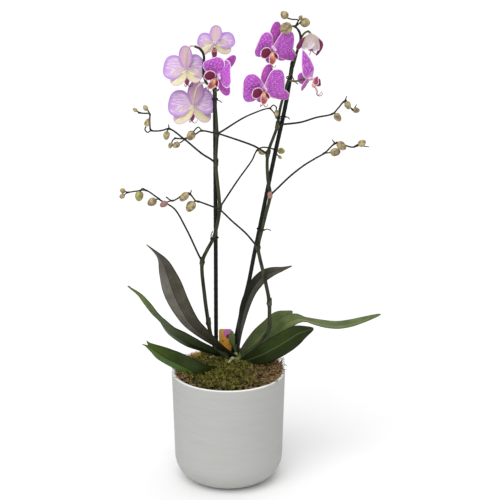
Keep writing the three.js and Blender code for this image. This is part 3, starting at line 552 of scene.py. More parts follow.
@dataclass(frozen=True)
class Veined(Finish):
    """Living skin with veins along it, read from the blade's own values: along, across, vein and rim.

    The colour goes from root to the main one, at root_reach, and on to outer at the tip, and drifts by spread
    in soft patches. Veins break off and start again breaks times, and stand relief millimetres high. A margin
    and a band have their full colour over the share fading of their width. Where they are given, upper is the
    colour of the half at positive across, and rib that of the raised midrib.
    """

    ior: float = 1.35
    root: str = "#FFFFFF"
    outer: str = "#FFFFFF"
    vein: str = "#FFFFFF"
    veins: float = 0.5
    breaks: float = 9.0
    margin: str = "#FFFFFF"
    margin_mm: float = 0.0
    band: str = "#FFFFFF"
    band_width: float = 0.0
    root_reach: float = 0.3
    relief: float = 0.12
    spread: float = 0.25
    drift_mm: float = 9.0
    upper: str = ""
    rib: str = ""
    fading: float = 0.3

    def pattern(self, tree: Tree) -> tuple[Socket, Socket]:
        """Adds root, outer, band, vein and margin colours over each other."""
        names = ("along", "across", "rim")
        along, across, rim = (add(tree, "ShaderNodeAttribute", out="Fac", attribute_name=n) for n in names)
        aside = add(tree, "ShaderNodeMath", {0: across}, operation="ABSOLUTE")
        drift = {0: patches(tree, self.drift_mm), 1: self.spread, 2: along}
        drifted = add(tree, "ShaderNodeMath", drift, operation="MULTIPLY_ADD")
        shift = self.spread / 2
        stops = [(0.04 + shift, self.root), (self.root_reach + shift, self.colour), (1.0, self.outer)]
        colour = add(tree, "ShaderNodeValToRGB", {"Fac": drifted}, "Color", stops)
        if self.upper:
            colour = washed(tree, across, 0.0, 0.3, colour, self.upper, 0.85)
        if self.band_width:
            full = self.band_width * self.fading
            colour = washed(tree, aside, self.band_width, full, colour, self.band, 0.9)
        lines = {
            "Value": streaks(tree, self.breaks, 3.0),
            "From Min": LINE_FADE[0],
            "From Max": LINE_FADE[1],
            "To Max": self.veins,
        }
        line = add(tree, "ShaderNodeMapRange", lines)
        colour = add(tree, "ShaderNodeMix", {0: line, 6: colour, 7: self.vein}, 2, data_type="RGBA")
        if self.margin_mm:
            full = self.margin_mm * self.fading
            colour = washed(tree, rim, self.margin_mm, full, colour, self.margin)
        if self.rib:
            colour = washed(tree, aside, 0.12, 0.05, colour, self.rib, 0.9)
        return colour, add(tree, "ShaderNodeMath", {0: line, 1: self.relief}, operation="MULTIPLY")


@dataclass(frozen=True)
class Halved(Finish):
    """A leaf whose two halves catch the light differently, with a midrib line, fine veins and a dark edge.

    The half at positive across has the second colour. Lighter and darker patches are cloud_mm wide, and the
    veins stand relief millimetres high.
    """

    ior: float = 1.26
    second: str = "#304020"
    midrib: str = "#202818"
    root: str = "#202810"
    tip: str = "#303828"
    edge: str = "#181C10"
    cloud_mm: float = 14.0
    grain_mm: float = 1.4
    relief: float = 0.12

    def pattern(self, tree: Tree) -> tuple[Socket, Socket]:
        """Adds both halves, the veins, the tones of root and tip, the midrib and the edge."""
        names = ("along", "across")
        along, across = (add(tree, "ShaderNodeAttribute", out="Fac", attribute_name=n) for n in names)
        aside = add(tree, "ShaderNodeMath", {0: across}, operation="ABSOLUTE")
        streak = streaks(tree, 5.0, 4.0)
        cloud = {0: streak, 1: patches(tree, self.cloud_mm, 4.0)}
        cloudy = add(tree, "ShaderNodeMath", cloud, operation="MULTIPLY")
        light = 1.0
        for value, low, high, least, most in (
            (cloudy, 0.15, 0.38, 0.72, 1.25),
            (patches(tree, self.grain_mm, 2.0), 0.35, 0.65, 0.85, 1.15),
        ):
            span = {"Value": value, "From Min": low, "From Max": high, "To Min": least, "To Max": most}
            scaled = add(tree, "ShaderNodeMapRange", span)
            light = add(tree, "ShaderNodeMath", {0: light, 1: scaled}, operation="MULTIPLY")
        colour = washed(tree, across, -0.08, 0.08, self.colour, self.second)
        colour = washed(tree, along, 0.5, 0.1, colour, self.root, 0.85)
        colour = washed(tree, along, 0.65, 1.0, colour, self.tip, 0.8)
        shaded = {0: 1.0, 6: colour, 7: light}
        colour = add(tree, "ShaderNodeMix", shaded, 2, data_type="RGBA", blend_type="MULTIPLY")
        colour = washed(tree, aside, 0.09, 0.02, colour, self.midrib, 0.8)
        colour = washed(tree, aside, 0.88, 0.97, colour, self.edge, 0.85)
        return colour, add(tree, "ShaderNodeMath", {0: streak, 1: self.relief}, operation="MULTIPLY")


@dataclass(frozen=True)
class Printed(Finish):
    """Coated card with a printed, plain pattern: a round shape on an orange ground.

    The ground's second tone begins at the height ground_from and is full at ground_full. The heart lies lower
    than the spot by heart_down of the spot's radius. Edges are soft over twice soft_mm, and the flecks lie
    fleck_mm apart.
    """

    ground: str = "#EDB94E"
    ground_from: float = 150.0
    ground_full: float = 183.0
    spot: str = "#CF7CBC"
    heart: str = "#8E1C4C"
    spot_at: tuple[float, float, float] = (0.0, 31.0, 178.0)
    spot_mm: float = 6.5
    heart_mm: float = 3.2
    heart_down: float = 0.7
    soft_mm: float = 0.3
    fleck: str = "#8A4A22"
    fleck_mm: float = 5.0

    def pattern(self, tree: Tree) -> tuple[Socket, None]:
        """Adds the ground, which gets lighter upwards, the flecks and the round shapes."""
        height = add(tree, "ShaderNodeSeparateXYZ", {0: here(tree)}, "Z")
        span = (self.ground_from * MM, self.ground_full * MM)
        colour = washed(tree, height, *span, self.colour, self.ground)
        colour = washed(tree, cells(tree, self.fleck_mm), 0.3, 0.2, colour, self.fleck, 0.8)
        x, y, z = self.spot_at
        down = self.heart_down * self.spot_mm
        for drop, radius, tone in ((0.0, self.spot_mm, self.spot), (down, self.heart_mm, self.heart)):
            ends = {0: here(tree), 1: (x * MM, y * MM, (z - drop) * MM)}
            apart = add(tree, "ShaderNodeVectorMath", ends, "Value", operation="DISTANCE")
            outside, inside = (radius + self.soft_mm) * MM, (radius - self.soft_mm) * MM
            colour = washed(tree, apart, outside, inside, colour, tone)
        return colour, None


@dataclass(frozen=True)
class Dotted(Finish):
    """Waxy tissue with small dots, dot_mm apart."""

    dot: str = "#8A2C78"
    dot_mm: float = 1.6

    def pattern(self, tree: Tree) -> tuple[Socket, None]:
        """Adds the dots."""
        return washed(tree, cells(tree, self.dot_mm), 0.42, 0.3, self.colour, self.dot, 0.8), None


# Matt glazed stoneware: a soft, almost chalky white
GLAZE = Stoneware("glazed_stoneware", "#AEAFAC", roughness=0.7, ior=1.45)
# Thin injection-moulded polypropylene
LINER = Mottled("polypropylene_liner", "#343432", roughness=0.45, ior=1.49, second="#3C3C3A",
                grain_height=0.02)
# Composted pine bark: dull and rough
BARK = Mottled("pine_bark", "#5C3E28", roughness=0.92, ior=1.4, second="#2E2018", patch_mm=3, grain_mm=0.7,
               grain_height=0.35, stretch=0.4)
# Damp peat and dust under the moss, painted near black: partly their colour, partly painted shade in the gaps
# between the sprigs
PEAT_AND_GAP_SHADE = Mottled("peat_and_gap_shade", "#14100A", roughness=0.95, ior=1.3, second="#2A2414", patch_mm=4, grain_height=0.4)
# Reindeer and sheet moss: fine, matt and yellow-green. Its darker copy is painted shade for the low sprigs in
# the depth of the moss
MOSS = Mottled("sheet_moss", "#1C2208", roughness=0.92, ior=1.3, second="#8C873C", patch_mm=4.2)
# The same moss painted darker: painted shade for the sprigs that sit low in the moss
MOSS_SHADED = Mottled("sheet_moss_painted_shade", "#12160A", roughness=0.95, ior=1.3, second="#3A3E16", patch_mm=4.0)
# The same moss, dried out to rust, straw and gold at the rim
MOSS_DRY = Mottled("dried_moss", "#21150F", roughness=0.92, ior=1.3, second="#AD8C62", patch_mm=4.4)
MOSS_GOLD = Mottled("golden_moss", "#7A5A24", roughness=0.92, ior=1.3, second="#E0B45A", patch_mm=1.8)
# Dry moss stalks and straw
STRAW = Mottled("dry_straw", "#A08A5C", roughness=0.8, ior=1.35, second="#4E3A26", patch_mm=4)
# Fleshy green stem tissue with a waxy skin
CROWN = Mottled("green_stem_base", "#5E6E3A", roughness=0.45, second="#7C8448", patch_mm=5)
# Velamen: the spongy silver coat of an aerial root
VELAMEN = Mottled("velamen", "#B4B49A", roughness=0.85, second="#84886A", patch_mm=3, grain_height=0.12)
# Plastic-coated steel: dark green, slightly glossy
STAKE = Mottled("coated_stake", "#0B0E0C", roughness=0.5, ior=1.28, second="#131713", grain_height=0.03)
# Waxy flower stem, dark olive with paler streaks
SPIKE = Mottled("olive_stem", "#1C1F13", roughness=0.5, ior=1.3, second="#3A4028", patch_mm=4, stretch=8)
SHEATH = Mottled("stem_sheath", "#4E4E34", roughness=0.6, ior=1.35, second="#352A20", patch_mm=2.5, stretch=3)
SHEATH_ROSE = Mottled("rosy_sheath", "#B08478", roughness=0.6, second="#8A6258", patch_mm=2.5, stretch=3)
BRANCH = Mottled("branch_bark", "#15130B", roughness=0.6, ior=1.28, second="#2C2A1A", patch_mm=4, stretch=3)
PEDICEL = Mottled("olive_pedicel", "#474B2C", roughness=0.5, ior=1.35, second="#6A6C42", patch_mm=5)
PEDICEL_ROSE = Mottled("rosy_pedicel", "#CBB0AC", roughness=0.5, second="#BC9FAC", patch_mm=5)
# Buds: matt, with mauve and green lights
BUD_BEIGE = Mottled("bud_beige", "#B3A876", roughness=0.65, ior=1.35, second="#7A6556", patch_mm=4.0,
                    grain_height=0.1)
BUD_GREEN = Mottled("bud_green", "#A9AC62", roughness=0.65, ior=1.35, second="#85754F", patch_mm=4.0,
                    grain_height=0.1)
BUD_ROSE = Mottled("bud_rose", "#A06272", roughness=0.6, ior=1.35, second="#7E8054", patch_mm=4,
                   grain_height=0.1)
# Covered wire: dull, nearly black
TIE = Mottled("covered_wire", "#121411", roughness=0.6, ior=1.3, second="#23261F", patch_mm=2,
              grain_height=0.03)
# Offset-printed coated card, and its unprinted back
CARD = Printed("printed_card", "#DE8C34", roughness=0.4, coat=0.2)
CARD_BACK = Mottled("card_back", "#D8C8A0", roughness=0.6, second="#CCBB92", patch_mm=9, grain_height=0.01)
# A seamless painted studio floor
FLOOR = Mottled("pale_floor", "#F6F6F6", roughness=0.9, second="#F3F3F3", patch_mm=500, grain_height=0.0)

# Petal tissue: thin, velvety and full of colour in front, pale behind with a violet edge
PETAL_FRONT = Veined("petal_tissue_front", "#A83AB2", roughness=0.6, sheen=0.2, root="#D89CD8",
                     outer="#AE42BC", vein="#DE94E0", veins=0.75, margin="#F4E2F5", margin_mm=1.5,
                     root_reach=0.2)
SEPAL_FRONT = Veined("sepal_tissue_front", "#A4369A", roughness=0.6, sheen=0.2, root="#CF8EB8",
                     outer="#A63CAA", vein="#CE78C8", veins=0.65, margin="#EFD6EC", margin_mm=1.1,
                     root_reach=0.24)
PETAL_BACK = Veined("petal_tissue_back", "#CDB2D2", roughness=0.65, sheen=0.2, root="#DCCFC4",
                    outer="#C79AD2", vein="#EFE6F1", veins=0.75, breaks=3.0, margin="#B48CCE", margin_mm=5.0,
                    root_reach=0.3)
SEPAL_BACK = Veined("sepal_tissue_back", "#C5A2BC", roughness=0.65, sheen=0.2, root="#CDC698",
                    outer="#C79ACE", vein="#DCC6D8", veins=0.4, breaks=3.0, margin="#B284C0", margin_mm=2.8,
                    band="#C7AEA2", band_width=0.62, root_reach=0.2)
LATERAL_BACK = Veined("lateral_back", "#DDD8A6", roughness=0.65, sheen=0.2, root="#C2BE74",
                      outer="#DDCFB6", vein="#EAE4C6", veins=0.5, breaks=3.0, margin="#D2AECC", margin_mm=1.4,
                      upper="#C6A8BA", rib="#F0EAD0", root_reach=0.5)
CREAM_BACK = Veined("cream_back", "#BFAFB2", roughness=0.65, sheen=0.2, root="#B4A78C",
                    outer="#D2C6D6", vein="#A87CB0", veins=0.4, breaks=3.0, margin="#E6DEEA", margin_mm=1.8,
                    band="#B8A892", band_width=0.6, root_reach=0.5)
# Painted shade: dark crimson petal backs for the half-open bloom, whose curled petals show faces in shade;
# petal tissue is pale behind
PETAL_PAINTED_SHADE = Veined("petal_back_painted_shade", "#601E40", roughness=0.6, root="#8E5470", outer="#6C2450",
                    vein="#86365E", veins=0.6, margin="#C088A8", margin_mm=0.5, root_reach=0.15)
# The lip: waxy and dark, with a pale rim
LIP_FRONT = Veined("lip_front", "#6C0A36", roughness=0.45, root="#A83A2E", outer="#7C1242",
                   vein="#52062A", veins=0.5, breaks=3.0, margin="#F2DEEC", margin_mm=1.2, root_reach=0.14)
LIP_BACK = Veined("lip_back", "#A0566A", roughness=0.5, root="#DDB498", outer="#96405C",
                  vein="#7A2A48", veins=0.4, breaks=3.0, margin="#ECCFE2", margin_mm=1.1, root_reach=0.4)
# The middle lobe: orange and white at its root, crimson at its point
LIP_MIDDLE = Veined("lip_middle", "#9A1C40", roughness=0.45, root="#F2D8C2", outer="#7E0E3A",
                    vein="#F0B47E", veins=0.6, margin="#F2D2DA", margin_mm=1.2, root_reach=0.62)
CALLUS = Dotted("callus", "#E9B583", roughness=0.45, coat=0.1, dot="#A8323A", dot_mm=1.5)
COLUMN = Dotted("column", "#DFC4DF", roughness=0.5, ior=1.35)
TENDRIL = Mottled("lip_tendril", "#541A38", roughness=0.5, ior=1.35, second="#7A2E4C", patch_mm=1.5)


class LeafTone(Enum):
    """How a leaf looks where it lies: each tone is the same leaf skin with painted light and shade laid into
    it, besides the leaf's own colour.

    Each has a name, the colours of both halves of its upper side, those of its underside, and the colours of
    midrib, root, tip and edge.
    """

    GREEN = ("green", "#3A4E20", "#2E3E18", "#3A4C1A", "#475434", "#162008", "#18220C", "#66782A", "#222E12")
    LOW = ("low", "#2E3E18", "#26341A", "#3E5E14", "#26320C", "#0E1606", "#121A08", "#445814", "#141C08")
    DARK = ("dark", "#202A04", "#28360C", "#2E2A24", "#2A2620", "#44562A", "#141C06", "#1A2206", "#0C1204")
    STEEP = ("steep", "#403F36", "#191B15", "#38322A", "#2E2A24", "#161812", "#171A13", "#544E44", "#12140E")
    OLIVE = ("olive", "#68743F", "#58663A", "#5C6A3C", "#4E5C34", "#46562E", "#3A4422", "#5C6A3A", "#2C381C")
    PURPLE = ("purple", "#3A3E28", "#34381F", "#66635A", "#4A463A", "#2A2820", "#20240F", "#3E3C34",
              "#1C1B15")

    def finishes(self) -> list[Halved]:
        """Returns the finishes of the upper side and of the underside.

        Leaf skin is thick and waxy: a broad, soft highlight over fine lengthwise veins.
        """
        name, left, right, under_left, under_right, midrib, root, tip, edge = self.value
        shared = {"midrib": midrib, "root": root, "tip": tip, "edge": edge}
        return [
            Halved(f"leaf_{name}_upper", left, roughness=0.46, second=right, **shared),
            Halved(f"leaf_{name}_under", under_left, roughness=0.55, second=under_right, **shared),
        ]


class BudTone(Enum):
    """Which finish a bud has, by its place in the spray's list of finishes."""

    BEIGE = 1
    GREEN = 2
    ROSE = 3


# Making pieces


def placed(name: str, data: bpy.types.ID) -> bpy.types.Object:
    """Puts a new object into the scene.

    Args:
        name: its name.
        data: its mesh, light or camera.

    Returns:
        The object.
    """
    thing = bpy.data.objects.new(name, data)
    bpy.context.scene.collection.objects.link(thing)
    return thing


def settled(name: str, mesh: bpy.types.Mesh, node: str, slot: str) -> bpy.types.Object:
    """Makes a piece of a mesh, and logs it.

    Args:
        name: the piece's name.
        mesh: its mesh.
        node: the CAD node that it stands for.
        slot: the record's material slot; not used.

    Returns:
        The new object, riding on the root body.
    """
    piece = placed(name, mesh)
    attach(piece, "root")
    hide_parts(node)
    log.info("%s: %d faces, for %s", name, len(mesh.polygons), node)
    return piece


def made(name: str, shape: Shape, finishes: Sequence[Finish], node: str, slot: str) -> bpy.types.Object:
    """Makes one piece of a shape.

    Args:
        name: the piece's name.
        shape: its triangles, in millimetres.
        finishes: the finishes that its finish numbers count.
        node: the CAD node that it stands for.
        slot: the record's material slot.

    Returns:
        The new object, riding on the root body.
    """
    mesh = bpy.data.meshes.new(name)
    mesh.from_pydata((shape.points * MM).tolist(), [], shape.triangles.tolist())
    mesh.polygons.foreach_set("material_index", shape.finishes.astype(np.int32))
    mesh.polygons.foreach_set("use_smooth", np.ones(len(shape.triangles), bool))
    for key, value in shape.values.items():
        mesh.attributes.new(key, "FLOAT", "POINT").data.foreach_set("value", value.astype(np.float32))
    for finish in finishes:
        mesh.materials.append(finish.material())
    mesh.update()
    return settled(name, mesh, node, slot)


class Growth:
    """A Geometry Nodes tree that grows something on a mesh."""

    def __init__(self, name: str, inputs: Sequence[tuple[str, str, Any]]) -> None:
        """Starts the tree.

        Args:
            name: the tree's name.
            inputs: name, kind of socket and default value of each input, besides geometry and finish.
        """
        self.tree: Tree = bpy.data.node_groups.new(name, "GeometryNodeTree")
        for way in ("INPUT", "OUTPUT"):
            self.tree.interface.new_socket("Geometry", in_out=way, socket_type="NodeSocketGeometry")
        for label, kind, default in (*inputs, ("Finish", "NodeSocketMaterial", None)):
            socket = self.tree.interface.new_socket(label, in_out="INPUT", socket_type=kind)
            if default is not None:
                socket.default_value = default
        self.given = self.tree.nodes.new("NodeGroupInput").outputs

    def end(self, geometry: Socket) -> None:
        """Ends the tree in real meshes with the given finish."""
        real = add(self.tree, "GeometryNodeRealizeInstances", {"Geometry": geometry})
        dressed = {"Geometry": real, "Material": self.given["Finish"]}
        result = self.tree.nodes.new("NodeGroupOutput").inputs["Geometry"]
        self.tree.links.new(add(self.tree, "GeometryNodeSetMaterial", dressed), result)

    def grown(self, base: bpy.types.Object, values: dict[str, Any]) -> bpy.types.Mesh:
        """Evaluates the tree on an object.

        Args:
            base: the object whose mesh the tree starts from.
            values: the tree's inputs by name.

        Returns:
            The result as a plain mesh; the modifier is gone.
        """
        modifier = base.modifiers.new("growth", "NODES")
        modifier.node_group = self.tree
        for item in self.tree.interface.items_tree:
            if item.in_out == "INPUT" and item.name in values:
                modifier[item.identifier] = values[item.name]
        base.update_tag()
        graph = bpy.context.evaluated_depsgraph_get()
        result = bpy.data.meshes.new_from_object(base.evaluated_get(graph))
        base.modifiers.remove(modifier)
        return result


class StemGrower(Growth):
    """Sweeps a round section along lines; each point of a line has its own radius."""

    def __init__(self) -> None:
        """Builds the tree once."""
        super().__init__("stem", [("Sides", "NodeSocketInt", 8)])
        tree = self.tree
        curve = add(tree, "GeometryNodeMeshToCurve", {"Mesh": self.given["Geometry"]})
        circle = {"Resolution": self.given["Sides"], "Radius": 1.0}
        section = add(tree, "GeometryNodeCurvePrimitiveCircle", circle)
        reach = add(tree, "GeometryNodeInputNamedAttribute", {"Name": "reach"}, data_type="FLOAT")
        skin = {"Curve": curve, "Profile Curve": section, "Scale": reach, "Fill Caps": True}
        self.end(add(tree, "GeometryNodeCurveToMesh", skin))

    def grow(self, lines: Sequence[tuple[Array, Array]], finish: int = 0, sides: int = 10) -> Shape:
        """Sweeps all the lines.

        Args:
            lines: the points and the radii of each line, in millimetres.
            finish: the finish number of the faces.
            sides: the sides of the section.

        Returns:
            The stems as one shape of closed tubes.
        """
        points = np.vstack([line for line, _ in lines])
        radii = np.concatenate([radius for _, radius in lines])
        edges, start = [], 0
        for line, _ in lines:
            edges += [(start + k, start + k + 1) for k in range(len(line) - 1)]
            start += len(line)
        mesh = bpy.data.meshes.new("lines")
        mesh.from_pydata((points * MM).tolist(), edges, [])
        reach = mesh.attributes.new("reach", "FLOAT", "POINT").data
        reach.foreach_set("value", (radii * MM).astype(np.float32))
        base = placed("lines", mesh)
        result = self.grown(base, {"Sides": sides})
        shape = shape_of(result, finish)
        bpy.data.objects.remove(base)
        bpy.data.meshes.remove(result)
        return shape


def shape_of(mesh: bpy.types.Mesh, finish: int) -> Shape:
    """Reads a mesh back as a shape.

    Args:
        mesh: the mesh, in metres.
        finish: the finish number of all its faces.

    Returns:
        The shape.
    """
    mesh.calc_loop_triangles()
    points = np.zeros(len(mesh.vertices) * 3, np.float32)
    mesh.vertices.foreach_get("co", points)
    triangles = np.zeros(len(mesh.loop_triangles) * 3, np.int32)
    mesh.loop_triangles.foreach_get("vertices", triangles)
    triangles = triangles.reshape(-1, 3)
    return Shape(points.reshape(-1, 3) / MM, triangles, np.full(len(triangles), finish))


STEMS = StemGrower()
# The round tip of a stem: how far out each ring lies, and how wide it is, as shares of the last radius
STEM_TIP = ((0.45, 0.89), (0.8, 0.6), (0.97, 0.24))


def stem_line(
    points: Sequence[Point] | Path, radius_at: Callable[[Array], Array], step: float = 2.0
) -> tuple[Array, Array]:
    """Lays out a stem, with its far end rounded off.

    Args:
        points: the line's points, or the line.
        radius_at: gives the radius from the share of the length.
        step: the distance between two points.

    Returns:
        The points and the radii.
    """
    path = points if isinstance(points, Path) else Path(points)
    share = np.linspace(0, 1, max(4, int(path.length / step)))
    radii = np.broadcast_to(radius_at(share), share.shape).astype(float)
    line = path.at(share)
    tip, ahead = line[-1], path.along(1.0)
    line = np.vstack([line, *[tip + ahead * radii[-1] * out for out, _ in STEM_TIP]])
    return line, np.concatenate([radii, [radii[-1] * small for _, small in STEM_TIP]])


def tapering(start: float, end: float, power: float = 1.0) -> Callable[[Array], Array]:
    """Returns a radius that goes from start to end."""
    return lambda share: start + (end - start) * share**power


# The pot and its filling


@dataclass
class Pot:
    """The thrown pot: a flat base, a large round corner and a nearly straight wall."""

    height: float = 140.0
    radius: float = 70.0
    low_radius: float = 67.0
    corner: float = 32.0
    wall: float = 5.0
    floor: float = 6.0
    ease: float = 1.2
    sides: int = 160

    def profile(self) -> Array:
        """Returns radius and height from the middle of the underside round to the middle of the floor."""
        foot, inner = self.low_radius - self.corner, self.corner - self.wall
        turn = np.radians(np.linspace(-90, 0, 13))
        outer = [(foot + self.corner * math.cos(a), self.corner + self.corner * math.sin(a)) for a in turn]
        rise = np.linspace(0, 1, 42)[1:-1]
        top = self.height - self.ease
        wall = [
            (self.low_radius + (self.radius - self.low_radius) * k,
             self.corner + (top - self.corner) * k)
            for k in rise
        ]
        lip_turn = np.radians(np.linspace(0, 180, 9))
        middle = self.radius - self.wall / 2
        half = self.wall / 2
        lip = [(middle + half * math.cos(a), top + self.ease * math.sin(a)) for a in lip_turn]
        inside = [(foot + inner * math.cos(a), self.floor + inner + inner * math.sin(a)) for a in turn[::-1]]
        low = [(0.5, 0.0), (foot * 0.5, 0.0)]
        return np.array([*low, *outer, *wall, *lip, *inside, (0.5, self.floor)])

    def build(self) -> None:
        """Makes the pot."""
        profile = self.profile()
        angle = 2 * np.pi * np.arange(self.sides) / self.sides
        rings = np.stack(
            [
                profile[:, :1] * np.cos(angle),
                profile[:, :1] * np.sin(angle),
                np.repeat(profile[:, 1:], self.sides, axis=1),
            ],
            axis=-1,
        )
        made("stoneware_pot", lofted(rings), [GLAZE], "pot", "pot")


class Scatter(Growth):
    """Scatters a small thing over a mesh, as densely as a value of the mesh says."""

    def __init__(self) -> None:
        """Builds the tree once."""
        inputs = [
            ("Thing", "NodeSocketObject", None),
            ("Density", "NodeSocketFloat", 1000.0),
            ("Where", "NodeSocketString", "mossy"),
            ("Least Size", "NodeSocketFloat", 0.7),
            ("Largest Size", "NodeSocketFloat", 1.2),
            ("Tilt", "NodeSocketFloat", 0.6),
            ("Seed", "NodeSocketInt", SEED),
        ]
        super().__init__("scatter", inputs)
        tree, given = self.tree, self.given
        seed, tilt = given["Seed"], given["Tilt"]
        share = add(tree, "GeometryNodeInputNamedAttribute", {"Name": given["Where"]}, data_type="FLOAT")
        density = add(tree, "ShaderNodeMath", {0: share, 1: given["Density"]}, operation="MULTIPLY")
        spread = {"Mesh": given["Geometry"], "Density": density, "Seed": seed}
        spots = add(tree, "GeometryNodeDistributePointsOnFaces", spread)
        thing = add(tree, "GeometryNodeObjectInfo", {"Object": given["Thing"]}, "Geometry")
        lean = add(tree, "ShaderNodeMath", {0: tilt, 1: -1.0}, operation="MULTIPLY")
        low = add(tree, "ShaderNodeCombineXYZ", {"X": lean, "Y": lean})
        high = add(tree, "ShaderNodeCombineXYZ", {"X": tilt, "Y": tilt, "Z": 2 * math.pi})
        turns = {0: low, 1: high, "Seed": seed}
        turn = add(tree, "FunctionNodeRandomValue", turns, data_type="FLOAT_VECTOR")
        sizes = {2: given["Least Size"], 3: given["Largest Size"], "Seed": seed}
        size = add(tree, "FunctionNodeRandomValue", sizes, 1, data_type="FLOAT")
        copies = {"Points": spots, "Instance": thing, "Rotation": turn, "Scale": size}
        self.end(add(tree, "GeometryNodeInstanceOnPoints", copies))


@dataclass
class Filling:
    """The moss over the bark, with bark chips, dry stalks and strands that hang over the rim.

    Its top is crown high in the middle and dome lower at its edge, drops by shoulder more beyond
    shoulder_from, and is never below lowest. Its underside is at floor, and the pot's rim at rim. Each row
    of wisps has the first and last angle, how many there are in both finishes, how far they reach, and how
    much a stretch of them rises at most.
    """

    radius: float = 64.1
    crown: float = 148.5
    dome: float = 5.5
    shoulder: float = 4.0
    shoulder_from: float = 52.0
    lowest: float = 136.5
    floor: float = 131.3
    sprigs_a_cm2: float = 52.0
    stalks_a_cm2: float = 2.4
    chips_a_cm2: float = 1.8
    rim: float = 140.0
    leaflets: int = 7
    leaflet_mm: float = 2.5
    leaflet_half: float = 0.42
    wisps: tuple[tuple[float, float, int, float, float], ...] = (
        (-50, 96, 220, 72.5, 2.7),
        (-28, 55, 110, 70.0, 5.6),
        (140, 222, 130, 72.0, 2.7),
        (222, 310, 40, 66.5, 1.8),
    )

    def height_at(self, x: Array, y: Array) -> Array:
        """Works out the moss's ground as the CAD solid has it.

        Args:
            x: the places to the right of the pot's axis.
            y: the places behind it.

        Returns:
            The heights.
        """
        r = np.hypot(x, y)
        domed = self.crown - self.dome * (r / self.radius) ** 2
        slope = self.shoulder * smoothstep(self.shoulder_from, self.radius, r) ** 2
        lumps = 1.3 * np.sin(x * 0.21 + 1.1) * np.cos(y * 0.24) + 0.9 * np.sin(x * 0.47 - y * 0.39)
        return np.maximum(domed - slope + lumps, self.lowest)

    def ground(self) -> Shape:
        """Returns the closed mound that the moss grows on, finely lumped."""
        rings, sides, centre_share, sunk = 48, 144, 0.01, 1.2
        angle = 2 * np.pi * np.arange(sides) / sides
        reach = self.radius * np.linspace(1, centre_share, rings) ** 0.8
        x, y = reach[:, None] * np.cos(angle), reach[:, None] * np.sin(angle)
        bumps = 1.9 * np.sin(x * 0.6 + 2) * np.sin(y * 0.66) + 0.7 * np.sin(x * 1.7) * np.cos(y * 1.6 + 1)
        top = np.stack([x, y, self.height_at(x, y) + bumps - sunk], axis=-1)
        skirt = np.stack([top[0, :, 0], top[0, :, 1], np.full(sides, self.floor)], axis=-1)
        base = np.stack([skirt[:, 0] * centre_share, skirt[:, 1] * centre_share, skirt[:, 2]], axis=-1)
        return lofted(np.concatenate([base[None], skirt[None], top]))

    def sprig(self) -> bpy.types.Object:
        """Returns one moss sprig: flat leaflets that rise in a spiral round a short upright line."""
        rng = np.random.default_rng(SEED)
        points, triangles = [], []
        for k in range(self.leaflets):
            turn = GOLDEN_TURN * k
            rise = 0.6 + 0.65 * k
            out = np.array([math.cos(turn), math.sin(turn), 0.0])
            side = np.array([-math.sin(turn), math.cos(turn), 0.0]) * self.leaflet_half
            length = self.leaflet_mm * (1 - 0.06 * k) * rng.uniform(0.8, 1.2)
            root = np.array([0, 0, rise])
            tip = root + out * length + np.array([0, 0, 1.3])
            belly = (root + tip) / 2 + np.array([0, 0, 0.5])
            first = len(points)
            points += [root, belly + side, tip, belly - side, belly - np.array([0, 0, 0.35])]
            corners = ((0, 3, 1), (1, 3, 2), (0, 1, 4), (1, 2, 4), (2, 3, 4), (3, 0, 4))
            triangles += [tuple(first + corner for corner in face) for face in corners]
        return self.seed_object("sprig", np.array(points), triangles)

    def chip(self) -> bpy.types.Object:
        """Returns one bark chip: a flat, broken slab."""
        low = [(-4.5, -2.2, -0.9), (3.8, -2.7, -1.1), (5.0, 1.6, -0.6), (-3.4, 2.5, -1.2)]
        high = [(-4.0, -1.8, 1.0), (3.0, -2.2, 0.7), (4.2, 1.9, 1.3), (-4.2, 1.9, 0.8)]
        sides = [(k, (k + 1) % 4, (k + 1) % 4 + 4, k + 4) for k in range(4)]
        return self.seed_object("chip", np.array(low + high), [(3, 2, 1, 0), (4, 5, 6, 7), *sides])

    def dry_stalk(self) -> bpy.types.Object:
        """Returns one dry stalk: a thin, bent three-sided strand that lies flat."""
        path = Path([(-9, 0, 0.2), (-4, 1.6, 1.6), (2, -0.6, 2.2), (7, 1.2, 1.0), (10, 0.2, 0.1)], 3)
        share = np.linspace(0, 1, 9)
        radii = 0.32 * (1 - 0.6 * share)
        shape = lofted(rings_about(path.at(share), path.along(share), radii, 3, (0, 0, 1)))
        return self.seed_object("stalk", shape.points, shape.triangles.tolist())

    def seed_object(self, name: str, points: Array, faces: Sequence[Sequence[int]]) -> bpy.types.Object:
        """Makes a thing that Geometry Nodes repeat; it is removed once they have run.

        Args:
            name: its name.
            points: its points, in millimetres.
            faces: the numbers of each face's points.

        Returns:
            The object.
        """
        mesh = bpy.data.meshes.new(name)
        mesh.from_pydata((points * MM).tolist(), [], faces)
        return placed(name, mesh)

